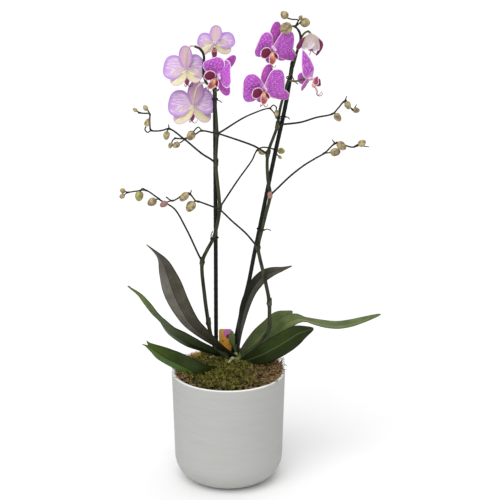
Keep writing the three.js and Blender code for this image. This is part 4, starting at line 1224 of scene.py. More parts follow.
    def zones(self, points: Array) -> dict[str, Array]:
        """Returns where each kind of growth stands: dry and brown at the right, gold at the back left.

        Args:
            points: the points of the ground.

        Returns:
            How densely each kind grows at each point, from 0 to 1, by the kind's name.
        """
        x, y = points[:, 0], points[:, 1]
        r = np.hypot(x, y)
        on_top = (points[:, 2] > self.floor + 2) & (r < self.radius - 0.3)
        inner = on_top * smoothstep(self.radius + 0.5, self.radius - 2, r)
        brown = smoothstep(14, 40, x + 5 * np.sin(y * 0.3))
        soil = smoothstep(-34, -50, x + 4 * np.sin(y * 0.4)) * smoothstep(20, -10, y)
        golden = smoothstep(15, 7, np.hypot(x + 45, y - 37))
        clumps = 0.25 + 0.75 * smoothstep(-0.3, 0.4, np.sin(x * 0.6 + 2) * np.sin(y * 0.66))
        return {
            "mossy": inner * clumps * (1 - 0.75 * brown) * (1 - 0.8 * soil) * (1 - golden),
            "rusty": inner * clumps * np.maximum(brown, 0.08 * soil),
            "golden": inner * golden,
            "dry": on_top * (0.25 + 0.75 * brown) * smoothstep(self.radius - 3, self.radius - 9, r),
            "barky": on_top * np.maximum(brown, 2 * soil) * smoothstep(self.radius - 5, self.radius - 12, r),
        }

    def build(self) -> None:
        """Makes the mound, and scatters moss, chips and stalks over it as pieces of their own."""
        ground = self.ground()
        ground.values = self.zones(ground.points)
        # The mound's near-black ground shows between the sprigs: partly peat, partly painted shade
        mound = made("moss_ground", ground, [PEAT_AND_GAP_SHADE], "moss", "moss")
        growth = Scatter()
        sprigs, stalks, chips = self.sprigs_a_cm2, self.stalks_a_cm2, self.chips_a_cm2
        # Name, thing, finish, zone, how densely, least and largest size, tilt, and what is added to the seed
        rows = [
            ("moss_sprigs", self.sprig(), MOSS, "mossy", sprigs * 0.8, 0.6, 1.35, 0.9, 1),
            # The low sprigs take the darker copy of the moss: painted shade deep in the moss
            ("moss_sprigs_low", self.sprig(), MOSS_SHADED, "mossy", sprigs * 0.6, 0.45, 0.8, 1.2, 2),
            ("rusty_sprigs", self.sprig(), MOSS_DRY, "rusty", sprigs * 0.8, 0.55, 1.35, 1.2, 5),
            ("golden_sprigs", self.sprig(), MOSS_GOLD, "golden", sprigs, 0.7, 1.2, 0.9, 6),
            ("dry_stalks", self.dry_stalk(), STRAW, "dry", stalks, 0.3, 0.8, 0.45, 3),
            ("bark_chips", self.chip(), BARK, "barky", chips, 0.5, 1.05, 0.7, 4),
        ]
        for name, thing, finish, where, density, least, largest, tilt, extra in rows:
            values = {
                "Thing": thing,
                "Density": density * PER_CM2,
                "Where": where,
                "Least Size": least,
                "Largest Size": largest,
                "Tilt": tilt,
                "Seed": SEED + extra,
                "Finish": finish.material(),
            }
            mesh = growth.grown(mound, values)
            bpy.data.objects.remove(thing)
            mesh.name = name
            settled(name, mesh, "moss", "moss")
        for name, finish, extra in (("straw_wisps", STRAW, 7), ("rusty_wisps", MOSS_DRY, 8)):
            made(name, self.wisps_over_rim(extra), [finish], "moss", "moss")

    def wisps_over_rim(self, extra: int) -> Shape:
        """Returns dry wisps that curl out over the rim, most of them at the right.

        Args:
            extra: is added to the seed.
        """
        rng = np.random.default_rng(SEED + extra)
        lines = []
        for first, last, count, limit, rise in self.wisps:
            for _ in range(count // 2):
                turn = math.radians(rng.uniform(first, last))
                reach = rng.uniform(52, 62.5)
                x, y = reach * math.cos(turn), reach * math.sin(turn)
                height = float(self.height_at(np.array(x), np.array(y))) + 0.6
                route = [(x, y, height)]
                for _ in range(4):
                    reach = min(reach + rng.uniform(-0.6, 4.2), limit)
                    turn += rng.uniform(-0.07, 0.07)
                    height += rng.uniform(-1.5, rise)
                    if reach > self.radius - 1:
                        height = max(height, self.rim + 0.7)
                    route.append((reach * math.cos(turn), reach * math.sin(turn), height))
                lines.append(stem_line(route, tapering(0.5, 0.2), 1.3))
        return STEMS.grow(lines, 0, 5)


# Stakes, stems and buds


STAKES: dict[str, list[Point]] = {
    "left": [(-15.5, 16, 25), (-15.3, 16, 165), (-15, 16, 330), (-15, 16, 492)],
    "right": [(-14, 26, 25), (2.5, 26, 140), (11.5, 25.5, 186), (18.3, 25, 218), (25, 24.5, 246),
              (32, 24, 284), (37.8, 23, 313.5), (46.8, 22, 360.5), (57.5, 21, 414.5), (69.5, 20, 473),
              (77, 20, 521.5)],
}


@dataclass
class Stake:
    """A thin plant stake with the moulded ribs of its coating."""

    name: str
    radius: float = 2.65
    rib: float = 0.1
    rib_spacing: float = 9.0

    def build(self) -> None:
        """Makes the stake."""
        path = Path(STAKES[self.name])

        def radius_at(share: Array) -> Array:
            """Returns the radius with a low rib at each spacing."""
            phase = share * path.length / self.rib_spacing
            return self.radius - self.rib * smoothstep(0.06, 0.2, np.abs(phase - np.round(phase)))

        shape = STEMS.grow([stem_line(path, radius_at, 1.2)], 0, 14)
        made(f"plant_stake_{self.name}", shape, [STAKE], f"stake_{self.name}", "stake")


@dataclass
class Spike:
    """A main flower stem with a sheath at each node."""

    name: str
    route: list[Point]
    nodes: list[Point]
    rosy: int = -1
    radius: float = 2.5
    end_radius: float = 1.5
    swelling: float = 0.55
    swelling_mm: float = 4.0
    looseness: float = 0.5

    def build(self) -> None:
        """Makes the stem, a little thicker at its nodes, and its sheaths."""
        path = Path(self.route)
        places = [path.lengths[path.nearest(node)] / path.length for node in self.nodes]
        base = tapering(self.radius, self.end_radius, 1.3)

        def radius_at(share: Array) -> Array:
            """Returns the stem's radius with a swelling above each node."""
            swell = np.zeros_like(share)
            for place in places:
                past = (share - place) * path.length
                swell = np.maximum(swell, self.swelling * np.exp(-((past / self.swelling_mm) ** 2)))
            return base(share) + swell

        shapes = [STEMS.grow([stem_line(path, radius_at, 1.8)], 0, 14)]
        for k, place in enumerate(places):
            girth = float(base(np.array(place))) + self.looseness
            shapes.append(self.sheath(path, place, girth, k, 2 if k == self.rosy else 1))
        finishes = [SPIKE, SHEATH, SHEATH_ROSE]
        made(f"flower_stem_{self.name}", Shape.joined(shapes), finishes, f"spike_{self.name}", "spike")

    def sheath(self, path: Path, place: float, radius: float, turn: int, finish: int) -> Shape:
        """Returns the pointed sheath that clasps the stem at a node.

        Args:
            path: the stem's line.
            place: the node's share of its length.
            radius: the stem's radius there.
            turn: the node's number, which sets the side that the sheath points to.
            finish: the finish number.
        """
        foot, axis = path.at(place), path.along(place)
        across = unit(np.array([1.0, 0.2, 0.0]) - axis * axis[0])
        third = np.cross(axis, across)
        facing = GOLDEN_TURN * turn

        def surface(t: Array, s: Array) -> Array:
            """Returns the sheath's middle surface round the stem."""
            angle = s * math.radians(172)
            rise = t * (2.6 + 6.4 * np.cos(angle / 2) ** 2) - 3.2
            out = radius + 0.15 + 0.5 * t**2
            turned = np.cos(angle + facing)[..., None] * across + np.sin(angle + facing)[..., None] * third
            return foot + turned * out[..., None] + axis * rise[..., None]

        return blade(surface, 0.5, 8, 20, (finish, finish))


SPIKES = [
    Spike(
        "left",
        [(3, 10, 150), (-6, 8, 158.5), (-15.5, 6, 167), (-21, 7, 181.5), (-24.5, 9, 200), (-29, 10, 235),
         (-31.5, 10.5, 277.5), (-25.5, 10.5, 292.5), (-18, 10.5, 307), (-13, 10.5, 324.5), (-10, 10.5, 346),
         (-14, 10.5, 401.5), (-12.5, 10.5, 437.5), (-15, 10.5, 478.5), (-17.5, 9, 494.5), (-24, 8, 499),
         (-27.5, 8, 508), (-28, 8, 520), (-27.5, 8, 532.5), (-31.5, 8, 540), (-37.5, 8, 543)],
        [(-24.5, 9, 200), (-31.5, 10.5, 277.5), (-10, 10.5, 346), (-14, 10.5, 401.5), (-12.5, 10.5, 437.5)],
    ),
    Spike(
        "right",
        [(16, 12, 150), (24, 8, 158), (33.5, 4, 167), (41, 1, 180), (49.5, -1, 194), (50.5, -1, 213),
         (50, 0, 231), (46, 2, 252.5), (43, 5, 265.5), (38.5, 11, 283), (36.5, 15, 295), (40.5, 17.5, 313.5),
         (46, 16.5, 337), (51, 15.5, 360.5), (48, 14, 382), (48, 14, 412), (54.5, 14, 432), (59.5, 14, 446.5),
         (61, 14, 459.5), (64, 14, 474), (72, 13.5, 502), (78, 14, 520), (82.5, 14, 537.5), (86, 12.5, 551),
         (84.5, 6.5, 560), (83, 4, 563)],
        [(50, 0, 229), (36.5, 15, 295), (51, 15.5, 360.5), (48, 14, 412), (59.5, 14, 446.5)],
        rosy=2,
    ),
]


@dataclass
class Bud:
    """A bud: its centre, the line of its stalk, its radius, its half-length and its tone."""

    at: Point
    stalk: list[Point]
    radius: float
    half: float
    tone: BudTone = BudTone.BEIGE

    def body(self) -> Shape:
        """Returns the bud: egg-shaped, with the seams of its folded sepals and a blunt point."""
        centre = np.array(self.at, float)
        axis = unit(centre - np.array(self.stalk[-1], float))
        z = -np.cos(np.pi * np.linspace(0.03, 0.985, 15))
        girth = np.sqrt(1 - z**2) * (1 - 0.16 * z) * (1 + 0.05 * np.exp(-((z - 0.9) ** 2) / 0.02))
        turn = 2 * np.pi * np.arange(18) / 18
        seams = 1 - 0.09 * np.abs(np.cos(1.5 * turn)) ** 8
        radii = self.radius * girth[:, None] * (1 + (seams - 1)[None, :] * np.clip(1.1 - z**2, 0, 1)[:, None])
        centres = centre + axis * (z * self.half * 1.03)[:, None]
        rings = rings_about(centres, np.repeat(axis[None], len(z), axis=0), radii, 18)
        return lofted(rings, self.tone.value)


@dataclass
class Spray:
    """A side branch with its buds and short spurs."""

    name: str
    branch: list[Point]
    buds: list[Bud]
    spurs: list[list[Point]] = field(default_factory=list)
    radius: float = 1.25
    end_radius: float = 0.9
    stalk_radius: float = 0.75
    knot: float = 0.4
    knot_mm: float = 1.6

    def build(self) -> None:
        """Makes the branch, a little thicker where stalks leave it, the stalks, the spurs and the buds."""
        path = Path(self.branch)
        starts = [bud.stalk[0] for bud in self.buds] + [spur[0] for spur in self.spurs]
        roots = [path.points[path.nearest(start)] for start in starts]
        base = tapering(self.radius, self.end_radius)

        def radius_at(share: Array) -> Array:
            """Returns the branch's radius with a knot at each root."""
            gaps = [np.linalg.norm(path.at(share) - root, axis=-1) for root in roots]
            near = np.min(gaps, axis=0)
            return base(share) + self.knot * np.exp(-((near / self.knot_mm) ** 2))

        lines = [stem_line(path, radius_at, 1.0)]
        for bud, root in zip(self.buds, roots):
            toward = np.array(bud.at, float) * 0.3 + np.array(bud.stalk[-1], float) * 0.7
            bent = len(bud.stalk) > 1
            route = [tuple(root), *bud.stalk[1:], tuple(toward)] if bent else [tuple(root), bud.at]
            lines.append(stem_line(route, tapering(self.stalk_radius, self.stalk_radius * 1.15), 0.8))
        for spur, root in zip(self.spurs, roots[len(self.buds):]):
            lines.append(stem_line([tuple(root), *spur[1:]], tapering(1.0, 0.5), 0.8))
        shapes = [STEMS.grow(lines, 0, 8), *[bud.body() for bud in self.buds]]
        finishes = [BRANCH, BUD_BEIGE, BUD_GREEN, BUD_ROSE]
        made(f"bud_spray_{self.name}", Shape.joined(shapes), finishes, f"spray_{self.name}", "spray")


SPRAYS = [
    Spray(
        "left_1",
        [(-31.5, 10.5, 277.5), (-36, 13, 286), (-50.5, 20, 316), (-64.5, 26, 339.5), (-73, 28, 345.5),
         (-81.5, 29, 350), (-87.5, 30, 354.5), (-100, 32, 362), (-111, 34, 360.5), (-123.5, 36, 358)],
        [
            Bud((-128.5, 36, 360.5), [(-122, 36, 358.2)], 3.2, 3.4),
            Bud((-129, 34, 354), [(-122.5, 35.8, 358)], 3.2, 3.4),
            Bud((-108, 32, 354.5), [(-100, 32, 362), (-103.5, 31.5, 364.5), (-106.5, 31.5, 362)], 5.3, 6.2,
                BudTone.GREEN),
            Bud((-92.5, 29, 348), [(-84, 29.5, 352), (-87, 28.5, 351.5)], 5, 6),
        ],
    ),
    Spray(
        "left_2",
        [(-10, 10.5, 346), (-4, 12.5, 355), (12, 20, 378), (29, 28, 400.5), (35, 31, 412), (41, 32, 415.5),
         (48.5, 33, 415), (57, 32, 413)],
        [
            Bud((41, 30, 410), [(35.5, 31, 412.5)], 3.2, 4.2),
            Bud((64.5, 31, 411.5), [(56, 32, 413.2)], 3.9, 4.2, BudTone.GREEN),
            Bud((63, 31.5, 403.5), [(57, 32, 413), (59.5, 32, 406.5)], 2, 2.6, BudTone.GREEN),
        ],
    ),
    Spray(
        "left_3",
        [(-14, 10.5, 401.5), (-21, 8.5, 407.5), (-29.5, 6, 413.5), (-50.5, -4, 434), (-68.5, -12, 449),
         (-75.5, -15, 448), (-82.5, -17, 447.5), (-89.5, -19, 449), (-90.5, -20, 456.5), (-90.5, -21, 463),
         (-90.5, -23, 469.5), (-97, -25, 470.5), (-103, -26, 471.5)],
        [
            Bud((-71.5, -13, 441), [(-68.5, -12, 449), (-70.5, -12.5, 447)], 4, 5),
            Bud((-93.3, -22.5, 459), [(-89.5, -19, 448.5), (-93.5, -20, 446.5), (-96.3, -21.5, 450.5)],
                3.3, 5),
            Bud((-95, -25, 477), [(-90.5, -23, 469), (-91.5, -24, 472.5)], 3, 3.5),
            Bud((-107, -27, 475), [(-102, -26, 471.3)], 2.3, 3),
        ],
        [[(-68.5, -12, 448), (-69, -12, 454)]],
    ),
    Spray(
        "left_4",
        [(-12.5, 10.5, 437.5), (-6.5, 12, 440.5), (18.5, 14, 456), (34, 12, 463.5), (44.5, 9, 468),
         (51, 7, 469.5)],
        [Bud((58, 4.5, 463.5), [(50, 7.2, 469.3), (54.5, 6, 473.5), (57.8, 5, 471)], 2.7, 4.4)],
        [[(50, 7.2, 469.3), (54.5, 5, 465), (57, 3, 459.5)]],
    ),
    Spray(
        "right_1",
        [(36.5, 15, 295), (31.5, 12, 301.5), (22, 9, 314), (5, 5, 331), (-10, 3, 346), (-16.5, 1, 349.5),
         (-33, -8, 358.5), (-38, -10, 360.5), (-45, -11, 369), (-52, -12, 369.5), (-59, -15, 365),
         (-66, -17, 362.5), (-72.5, -19, 367.5)],
        [
            Bud((-44, -12, 354), [(-35, -8.8, 359.2), (-39.5, -11, 360)], 5.8, 7),
            Bud((-51.5, -16, 367), [(-44, -11, 369), (-46.5, -13.5, 371.5)], 4.6, 6.6),
            Bud((-76, -18, 358.5), [(-65.5, -17, 362.6), (-70.5, -17, 361.5)], 3.9, 4.8, BudTone.ROSE),
        ],
        [[(-44.5, -11, 368.5), (-43, -11, 374)]],
    ),
    Spray(
        "right_2",
        [(51, 15.5, 360.5), (58, 11, 368.5), (74, 4, 386.5), (90.5, -3, 402), (104, -8, 412),
         (115, -11, 419.5), (127, -13, 431.5), (133, -15, 432.5), (140, -18, 430), (148, -21, 429),
         (152.5, -23, 432)],
        [
            Bud((127.5, -14.5, 421.5), [(114, -11, 419), (120, -12, 420)], 5, 6),
            Bud((134.5, -16.5, 429.5), [(126, -13, 431), (129.5, -14.5, 433.5)], 5, 6.2),
            Bud((158, -24, 434.5), [(150, -22, 430), (153, -23.5, 431)], 4.2, 4.8),
        ],
        [[(127, -13, 431), (123.5, -13, 436)], [(156, -23.5, 432), (166, -26, 430.5)]],
    ),
    Spray(
        "right_3",
        [(48, 14, 412), (41, 11, 417), (31.5, 9, 423), (3, 5, 434.5), (-10.5, 3, 439.3), (-17.5, 2, 441),
         (-31, 3, 443), (-38, 7, 438), (-50, 12, 431.5), (-63.5, 17, 430.5)],
        [
            Bud((-43.5, 6, 436.3), [(-30, 3, 443), (-34.5, 2.5, 447.5), (-39, 4.5, 443.5)], 5.2, 6.2),
            Bud((-61.5, 15, 422.8), [(-50, 12, 431.2), (-54.5, 13, 427.5)], 3.8, 4.7),
            Bud((-68.5, 18, 421.5), [(-62.5, 16.8, 430.4), (-66, 18, 427.5)], 2.8, 3.8),
        ],
    ),
    Spray(
        "right_4",
        [(59.5, 14, 446.5), (63.5, 12.3, 448.5), (69, 12.3, 449), (87.5, 18, 450), (105.5, 25, 454),
         (126, 31, 457.5), (132.5, 32.5, 464), (140, 34, 471.5), (146.5, 35, 464.5), (151, 37, 460)],
        [
            Bud((132, 31, 453), [(125, 31, 457.2), (128.5, 31, 458)], 4.4, 5.5),
            Bud((144, 34, 467), [(139, 34, 471), (141.5, 34, 474)], 3.9, 5),
            Bud((154.5, 38, 460), [(149.5, 36.5, 460.8)], 3.5, 4.2),
        ],
        [[(139.8, 34, 471.5), (142.5, 35, 478)], [(153.5, 37.5, 461), (154.5, 38, 467)]],
    ),
    Spray(
        "right_top",
        [(82.8, 3.7, 563.3), (81, 1, 566), (77.5, -4, 569), (73, -10, 570)],
        [
            Bud((68, -14, 568.5), [(74, -9, 569.8)], 7, 7.4),
            Bud((66.5, -8, 583),
                [(78, -3.5, 568.7), (82, -1, 572), (82, -1.5, 576), (76, -4, 577), (70.5, -7, 579)],
                4.7, 4.9),
            Bud((91, 7, 571.5), [(81.5, -1, 571), (86, 3, 572.5)], 5.6, 6.2),
            Bud((85.5, 1, 578.5), [(82, -1.2, 574)], 2.4, 2.7),
        ],
    ),
]


# Leaves, crown and roots


class Outline(Enum):
    """Half-width of a blade as a share of its widest: share at the root, where it is widest, and its tip."""

    LEAF = (0.3, 0.55, 2.2)
    SEPAL = (0.2, 0.5, 2.2)
    PETAL = (0.12, 0.55, 2.6)
    POINTED = (0.5, 0.3, 1.35)

    def half(self, t: Array) -> Array:
        """Returns the share of the widest half-width at t."""
        root, full, power = self.value
        widening = root + (1 - root) * np.sin(np.minimum(1, t / full) * np.pi / 2)
        past = np.clip((t - full) / (1 - full), 0, 1)
        return widening * (1 - past**power) ** (1 / power)


@dataclass
class Leaf:
    """A fleshy leaf along its midrib, folded up on both sides of it."""

    name: str
    midrib: list[Point]
    sides: list[Point]
    width: float
    fold: float
    tone: LeafTone
    slot: str
    wave: float = 0.5
    notch: float = 0.0
    tip_share: float = 0.0
    thickness: float = 1.5
    vein_mm: float = 1.1
    pointed: float = 0.4

    def build(self) -> None:
        """Makes the leaf."""
        path = Path(self.midrib)
        across = np.array(self.sides, float)
        stretches = len(across) - 1

        def surface(t: Array, s: Array) -> Array:
            """Returns the leaf's middle surface: grooved at the midrib and a little wavy at its edges."""
            tangent = path.along(t)
            place = t * stretches
            cell = np.minimum(np.floor(place).astype(int), stretches - 1)
            mix = (place - cell)[..., None]
            side = across[cell] * (1 - mix) + across[cell + 1] * mix
            side = unit(side - tangent * np.sum(side * tangent, axis=-1, keepdims=True))
            up = np.cross(tangent, side)
            blunt = self.tip_share * smoothstep(0.6, 0.95, t)
            plain = Outline.LEAF.half(t)
            half = self.width / 2 * np.maximum(plain * (1 - self.pointed * smoothstep(0.78, 1.0, t)), blunt)
            folded = np.sqrt(s**2 + 0.015) - 0.12
            ripple = self.wave * np.abs(s) ** 2 * np.sin(t * 17 + np.sign(s) * 1.3 + self.width)
            lift = half * self.fold * folded + ripple * plain
            ahead = self.notch * (np.abs(s) - 0.5) * smoothstep(0.85, 1, t)
            flat = path.at(t) + side * (half * s)[..., None]
            return flat + up * lift[..., None] + tangent * ahead[..., None]

        def values(t: Array, s: Array) -> dict[str, Array]:
            """Returns how many veins lie between a point and the midrib."""
            return {"vein": s * self.width / 2 / self.vein_mm}

        shape = blade(surface, self.thickness, 64, 20, (0, 1), values, 0.4)
        made(f"leaf_blade_{self.name}", shape, self.tone.finishes(), f"leaf_{self.name}", self.slot)


LEAVES = [
    Leaf("i", [(9.5, 14.5, 158), (6.5, 16, 164), (2.5, 17, 171), (4.5, 18, 186)],
         [(0.6, -0.7, 0), (0.6, -0.7, 0)], 12, 0.5, LeafTone.OLIVE, "leaf_olive", 0.1),
    Leaf("d", [(11.5, 12, 157), (13, 10.5, 173), (15.5, 10, 190), (20, 11, 214), (25, 12, 229.5),
               (32, 13, 244.5), (38, 13.5, 252.5), (45, 13, 259), (55, 12, 264), (66, 11, 267.5),
               (78, 10, 272.5)],
         [(-0.35, 0.93, 0), (-0.5, 0.8, 0.1), (-0.4, 0.65, 0.6), (-0.1, 0.95, 0.2)], 18, 0.2, LeafTone.STEEP,
         "leaf_dark"),
    Leaf("a", [(9, 11, 154), (-8, 4, 167), (-24.5, -4, 183), (-37, -11, 196.5), (-46.5, -17, 209),
               (-61, -28, 241), (-71, -37, 275), (-78, -41.5, 297), (-95.5, -46, 317)],
         [(0.52, -0.76, 0.39), (0.78, -0.48, 0.4), (0.93, -0.2, 0.3), (0.4, -0.9, 0.1)], 27, 0.15,
         LeafTone.PURPLE, "leaf_purple"),
    Leaf("e", [(14, 18, 151), (26.5, 27, 163), (38, 31, 173), (51.5, 34, 185), (64, 37, 195.5),
               (80, 40, 203.5)],
         [(-0.49, 0.76, 0.36), (-0.49, 0.76, 0.36)], 25, 0.15, LeafTone.OLIVE, "leaf_olive"),
    Leaf("b", [(5.5, 15, 150), (-8, 15, 154), (-30, 8, 165), (-45, 4, 173), (-58.5, 0, 182), (-71, -4, 192),
               (-82, -8, 206.5), (-92, -10.5, 218), (-101, -13, 232), (-108, -15, 243), (-121, -16, 255)],
         [(0.45, -0.55, 0.7), (0.55, -0.45, 0.7), (0.3, -0.85, 0.35), (0.4, -0.8, 0.4)], 24, 0.3,
         LeafTone.GREEN, "leaf_green", 0.5, 0.0, 0.24),
    Leaf("f", [(16.5, 17.5, 151), (35, 13.5, 162), (49, 13, 173.5), (63, 12.5, 188), (74, 13, 198),
               (87, 13.5, 202.5), (102, 14.5, 198.5), (118, 15.5, 194.5), (134, 16.5, 192.5),
               (150, 17.5, 194.5), (165, 18, 199), (188, 16, 208)],
         [(-0.3, 0.8, 0.45), (-0.4, 0.65, 0.65), (-0.35, 0.75, 0.5), (-0.2, 1, -0.04), (-0.1, 1, 0),
          (-0.1, 1, 0.08), (-0.1, 1, 0.15)], 27, 0.12, LeafTone.OLIVE, "leaf_olive"),
    Leaf("g", [(15, 8, 148), (29, -1, 156), (43, -9, 165), (57, -15, 175), (71.5, -21, 186.5), (86, -26, 198),
               (103.5, -30, 206)],
         [(-0.35, 0.35, 0.87), (-0.35, 0.35, 0.87)], 27, 0.1, LeafTone.DARK, "leaf_dark"),
    Leaf("c", [(5, 7, 143), (-10, -12, 142), (-23, -27, 144.5), (-36, -34, 149), (-48, -32, 154.5),
               (-61, -29.5, 160.5), (-75.5, -29, 168), (-86, -32, 177), (-99, -36, 188)],
         [(0.3, -0.2, 0.9), (0.3, -0.3, 0.9), (0.35, -0.35, 0.85)], 27, 0.4, LeafTone.LOW, "leaf_green",
         0.3, 6, 0.3),
]


@dataclass
class Crown:
    """The short upright stem that everything grows from, ringed by old leaf bases."""

    at: tuple[float, float] = (10.5, 14.0)
    radius: float = 6.5
    foot: float = 112.0
    top: float = 160.0

    def build(self) -> None:
        """Makes the crown."""
        z = np.linspace(self.foot, self.top, 40)
        taper = 1 - 0.4 * smoothstep(self.top - 12, self.top - 2, z)
        dome = np.sqrt(np.clip((self.top - z) / 3.0, 0.003, 1))
        ridge = 0.35 * np.abs(np.sin((z - self.foot) * math.pi / 6))
        radii = (self.radius * taper + ridge) * dome
        centres = np.stack([np.full_like(z, self.at[0]), np.full_like(z, self.at[1]), z], axis=-1)
        axes = np.tile([0.0, 0.0, 1.0], (len(z), 1))
        made("crown_stem", lofted(rings_about(centres, axes, radii, 32)), [CROWN], "crown", "crown")


@dataclass
class AerialRoot:
    """A pale root that lies over the moss."""

    name: str
    route: list[Point]
    radius: float = 2.2
    end_radius: float = 1.3

    def build(self) -> None:
        """Makes the root, slightly knobbly."""
        path = Path(self.route)

        def radius_at(share: Array) -> Array:
            """Returns the radius with soft knobs."""
            knobs = 0.12 * np.sin(share * path.length * 0.9) + 0.08 * np.sin(share * path.length * 2.1 + 1)
            return tapering(self.radius, self.end_radius)(share) + knobs

        shape = STEMS.grow([stem_line(path, radius_at, 0.8)], 0, 14)
        made(f"aerial_root_{self.name}", shape, [VELAMEN], f"root_{self.name}", "root")


ROOTS = [
    AerialRoot("left", [(3, 17, 152), (-6, 20, 157), (-14, 22, 152), (-24, 20, 148.5), (-34, 15, 147.5)]),
    AerialRoot("front", [(8, 9, 150), (5, 3, 155), (1, -2, 151.5), (-2, -6, 147)]),
]


# Blooms


@dataclass
class Tepal:
    """A petal or sepal: its tip from the bloom's centre, its width, and how it is turned and bent."""

    tip: Point
    width: float
    face: Point | None = None
    sweep: float = 0.0


# What the finish numbers of a bloom and of its lip count
BLOOM_FINISHES = [PETAL_FRONT, PETAL_BACK, SEPAL_FRONT, SEPAL_BACK, COLUMN, CREAM_BACK, LATERAL_BACK, PEDICEL,
                  PETAL_PAINTED_SHADE, PEDICEL_ROSE]
LIP_FINISHES = [LIP_FRONT, LIP_BACK, CALLUS, TENDRIL, LIP_MIDDLE]


@dataclass
class Bloom:
    """A moth orchid flower: three sepals behind two broad petals, a column and a three-lobed lip."""

    name: str
    centre: Point
    facing: Point
    stalk: list[Point]
    dorsal: Tepal
    petals: tuple[Tepal, Tepal]
    laterals: tuple[Tepal, Tepal]
    slot: str
    lobes: tuple[float, float] = (0.35, 0.35)
    arch: float = 0.05
    cream: bool = False
    near: Outline = Outline.PETAL
    thickness: float = 0.7
    vein_mm: float = 1.3
    folded: float = 0.2
    middle_width: float = 10.0
    middle_width_away: float = 7.0

    def __post_init__(self) -> None:
        """Works out the bloom's own directions: right and up as its front is seen, and forward."""
        self.forward = unit(np.array(self.facing, float))
        tip = np.array(self.dorsal.tip, float)
        self.up = unit(tip - self.forward * np.dot(tip, self.forward))
        self.right = np.cross(self.up, self.forward)
        self.middle = np.array(self.centre, float)
        self.away = self.forward[1] > 0.5

    def at(self, places: Array) -> Array:
        """Turns right, up and forward into places."""
        places = np.asarray(places, float)
        return self.middle + places @ np.stack([self.right, self.up, self.forward])

    def tepal(
        self,
        spec: Tepal,
        kind: Outline,
        step: float,
        faces: tuple[Finish, Finish],
        phase: float,
        upper: int = 1,
    ) -> Shape:
        """Returns one tepal.

        Args:
            spec: its tip, width and bend.
            kind: its outline.
            step: how far forward of the centre it starts.
            faces: the finishes of its front and back.
            phase: shifts its ripples.
            upper: the sign that s has on its upper side.
        """
        root = self.middle + self.forward * step
        reach = self.middle + np.array(spec.tip, float) - root
        face = self.forward if spec.face is None else np.array(spec.face, float)
        length, along, front, side = directions(reach, face)
        cup = 0.55 if self.arch < 0 else -0.12
        half_width = spec.width / 2

        def surface(t: Array, s: Array) -> Array:
            """Returns the tepal's middle surface: arched, cupped, and rippled towards its edge."""
            half = half_width * kind.half(t)
            bend = spec.sweep * np.sin(np.pi * t)
            lift = self.arch * length * 4 * t * (1 - t) + cup * half * s * s
            ripple = 0.035 * half_width * np.abs(s) ** 3 * np.sin(9 * t + 4 * np.sign(s) + phase)
            crease = -0.5 * np.exp(-((s / 0.12) ** 2)) * np.sin(np.pi * np.clip(t, 0, 1)) ** 0.6
            lifted = lift + ripple + crease
            line = root + along * (length * t)[..., None]
            return line + side * (half * s + bend)[..., None] + front * lifted[..., None]

        def values(t: Array, s: Array) -> dict[str, Array]:
            """Returns the vein count from the midrib and the distance to the margin."""
            half = half_width * kind.half(t)
            rim = np.minimum(half * (1 - np.abs(s)), length * (1 - t))
            return {"vein": s * half_width / self.vein_mm + phase * 7, "rim": rim, "across": s * upper}

        numbers = tuple(BLOOM_FINISHES.index(finish) for finish in faces)
        return blade(surface, self.thickness, 26, 18, numbers, values)

    def column(self) -> Shape:
        """Returns the column with its rounded cap, and the hub that the tepals grow from."""
        axis = unit(self.at([0, 0.15, 1]) - self.middle)
        profile = [(0.4, 0, -2.2), (2.2, 0, -1.6), (2.7, 0, 0), (2.4, 0, 2), (1.8, 0, 4.2), (1.7, 0, 6),
                   (2.1, 0, 8), (1.8, 0, 9.4), (1.0, 0, 10.1), (0.2, 0, 10.3)]
        return turned(profile, 30, self.middle, axis, 16, BLOOM_FINISHES.index(COLUMN))

    def lobe(
        self,
        root: Point,
        tip: Point,
        face: Point,
        width: float,
        kind: Outline,
        cup: float,
        finish: Finish = LIP_FRONT,
    ) -> Shape:
        """Returns one lobe of the lip, given in the bloom's own directions.

        Args:
            root: where it starts.
            tip: where it ends.
            face: the way its front faces.
            width: its width.
            kind: its outline.
            cup: how far its edges rise, as a share of its half-width.
            finish: the finish of its front.
        """
        start = np.array(root, float)
        length, along, front, side = directions(np.array(tip, float) - start, np.array(face, float))

        def surface(t: Array, s: Array) -> Array:
            """Returns the lobe's middle surface."""
            half = width / 2 * kind.half(t)
            lift = cup * half * s**2 + 0.06 * length * np.sin(np.pi * t)
            line = start + along * (length * t)[..., None]
            return self.at(line + side * (half * s)[..., None] + front * lift[..., None])

        def values(t: Array, s: Array) -> dict[str, Array]:
            """Returns the vein count from the midrib and the distance to the margin."""
            half = width / 2 * kind.half(t)
            return {"vein": s * width, "rim": np.minimum(half * (1 - np.abs(s)), length * (1 - t))}

        numbers = (LIP_FINISHES.index(finish), LIP_FINISHES.index(LIP_BACK))
        return blade(surface, 0.8, 14, 12, numbers, values, 0.5)

    def side_lobe(self, sign: int, opened: float) -> Shape:
        """Returns a side lobe of the lip.

        One that is opened wide shows its face beside the column; a folded one stands forward, edge on.

        Args:
            sign: -1 for the left one and 1 for the right one.
            opened: how wide it is opened, from 0 to 1.
        """
        root = np.array([sign * (0.5 + 1.7 * opened), -3.4 - opened, 5.4])
        if opened < self.folded:
            toward, face = unit(np.array([sign * 0.44, -0.6, 0.66])), (-sign, 0.3, 0.35)
        else:
            toward = unit(np.array([sign * (0.3 + 0.7 * opened), 0.5 - 0.55 * opened, 0.7 - 0.5 * opened]))
            face = (-sign * (1 - opened), 0.2, 0.35 + opened)
        tip = root + toward * (9.5 + 5.5 * opened)
        return self.lobe(root, tip, face, 8.5 + 6.2 * opened, Outline.PETAL, 0.18)

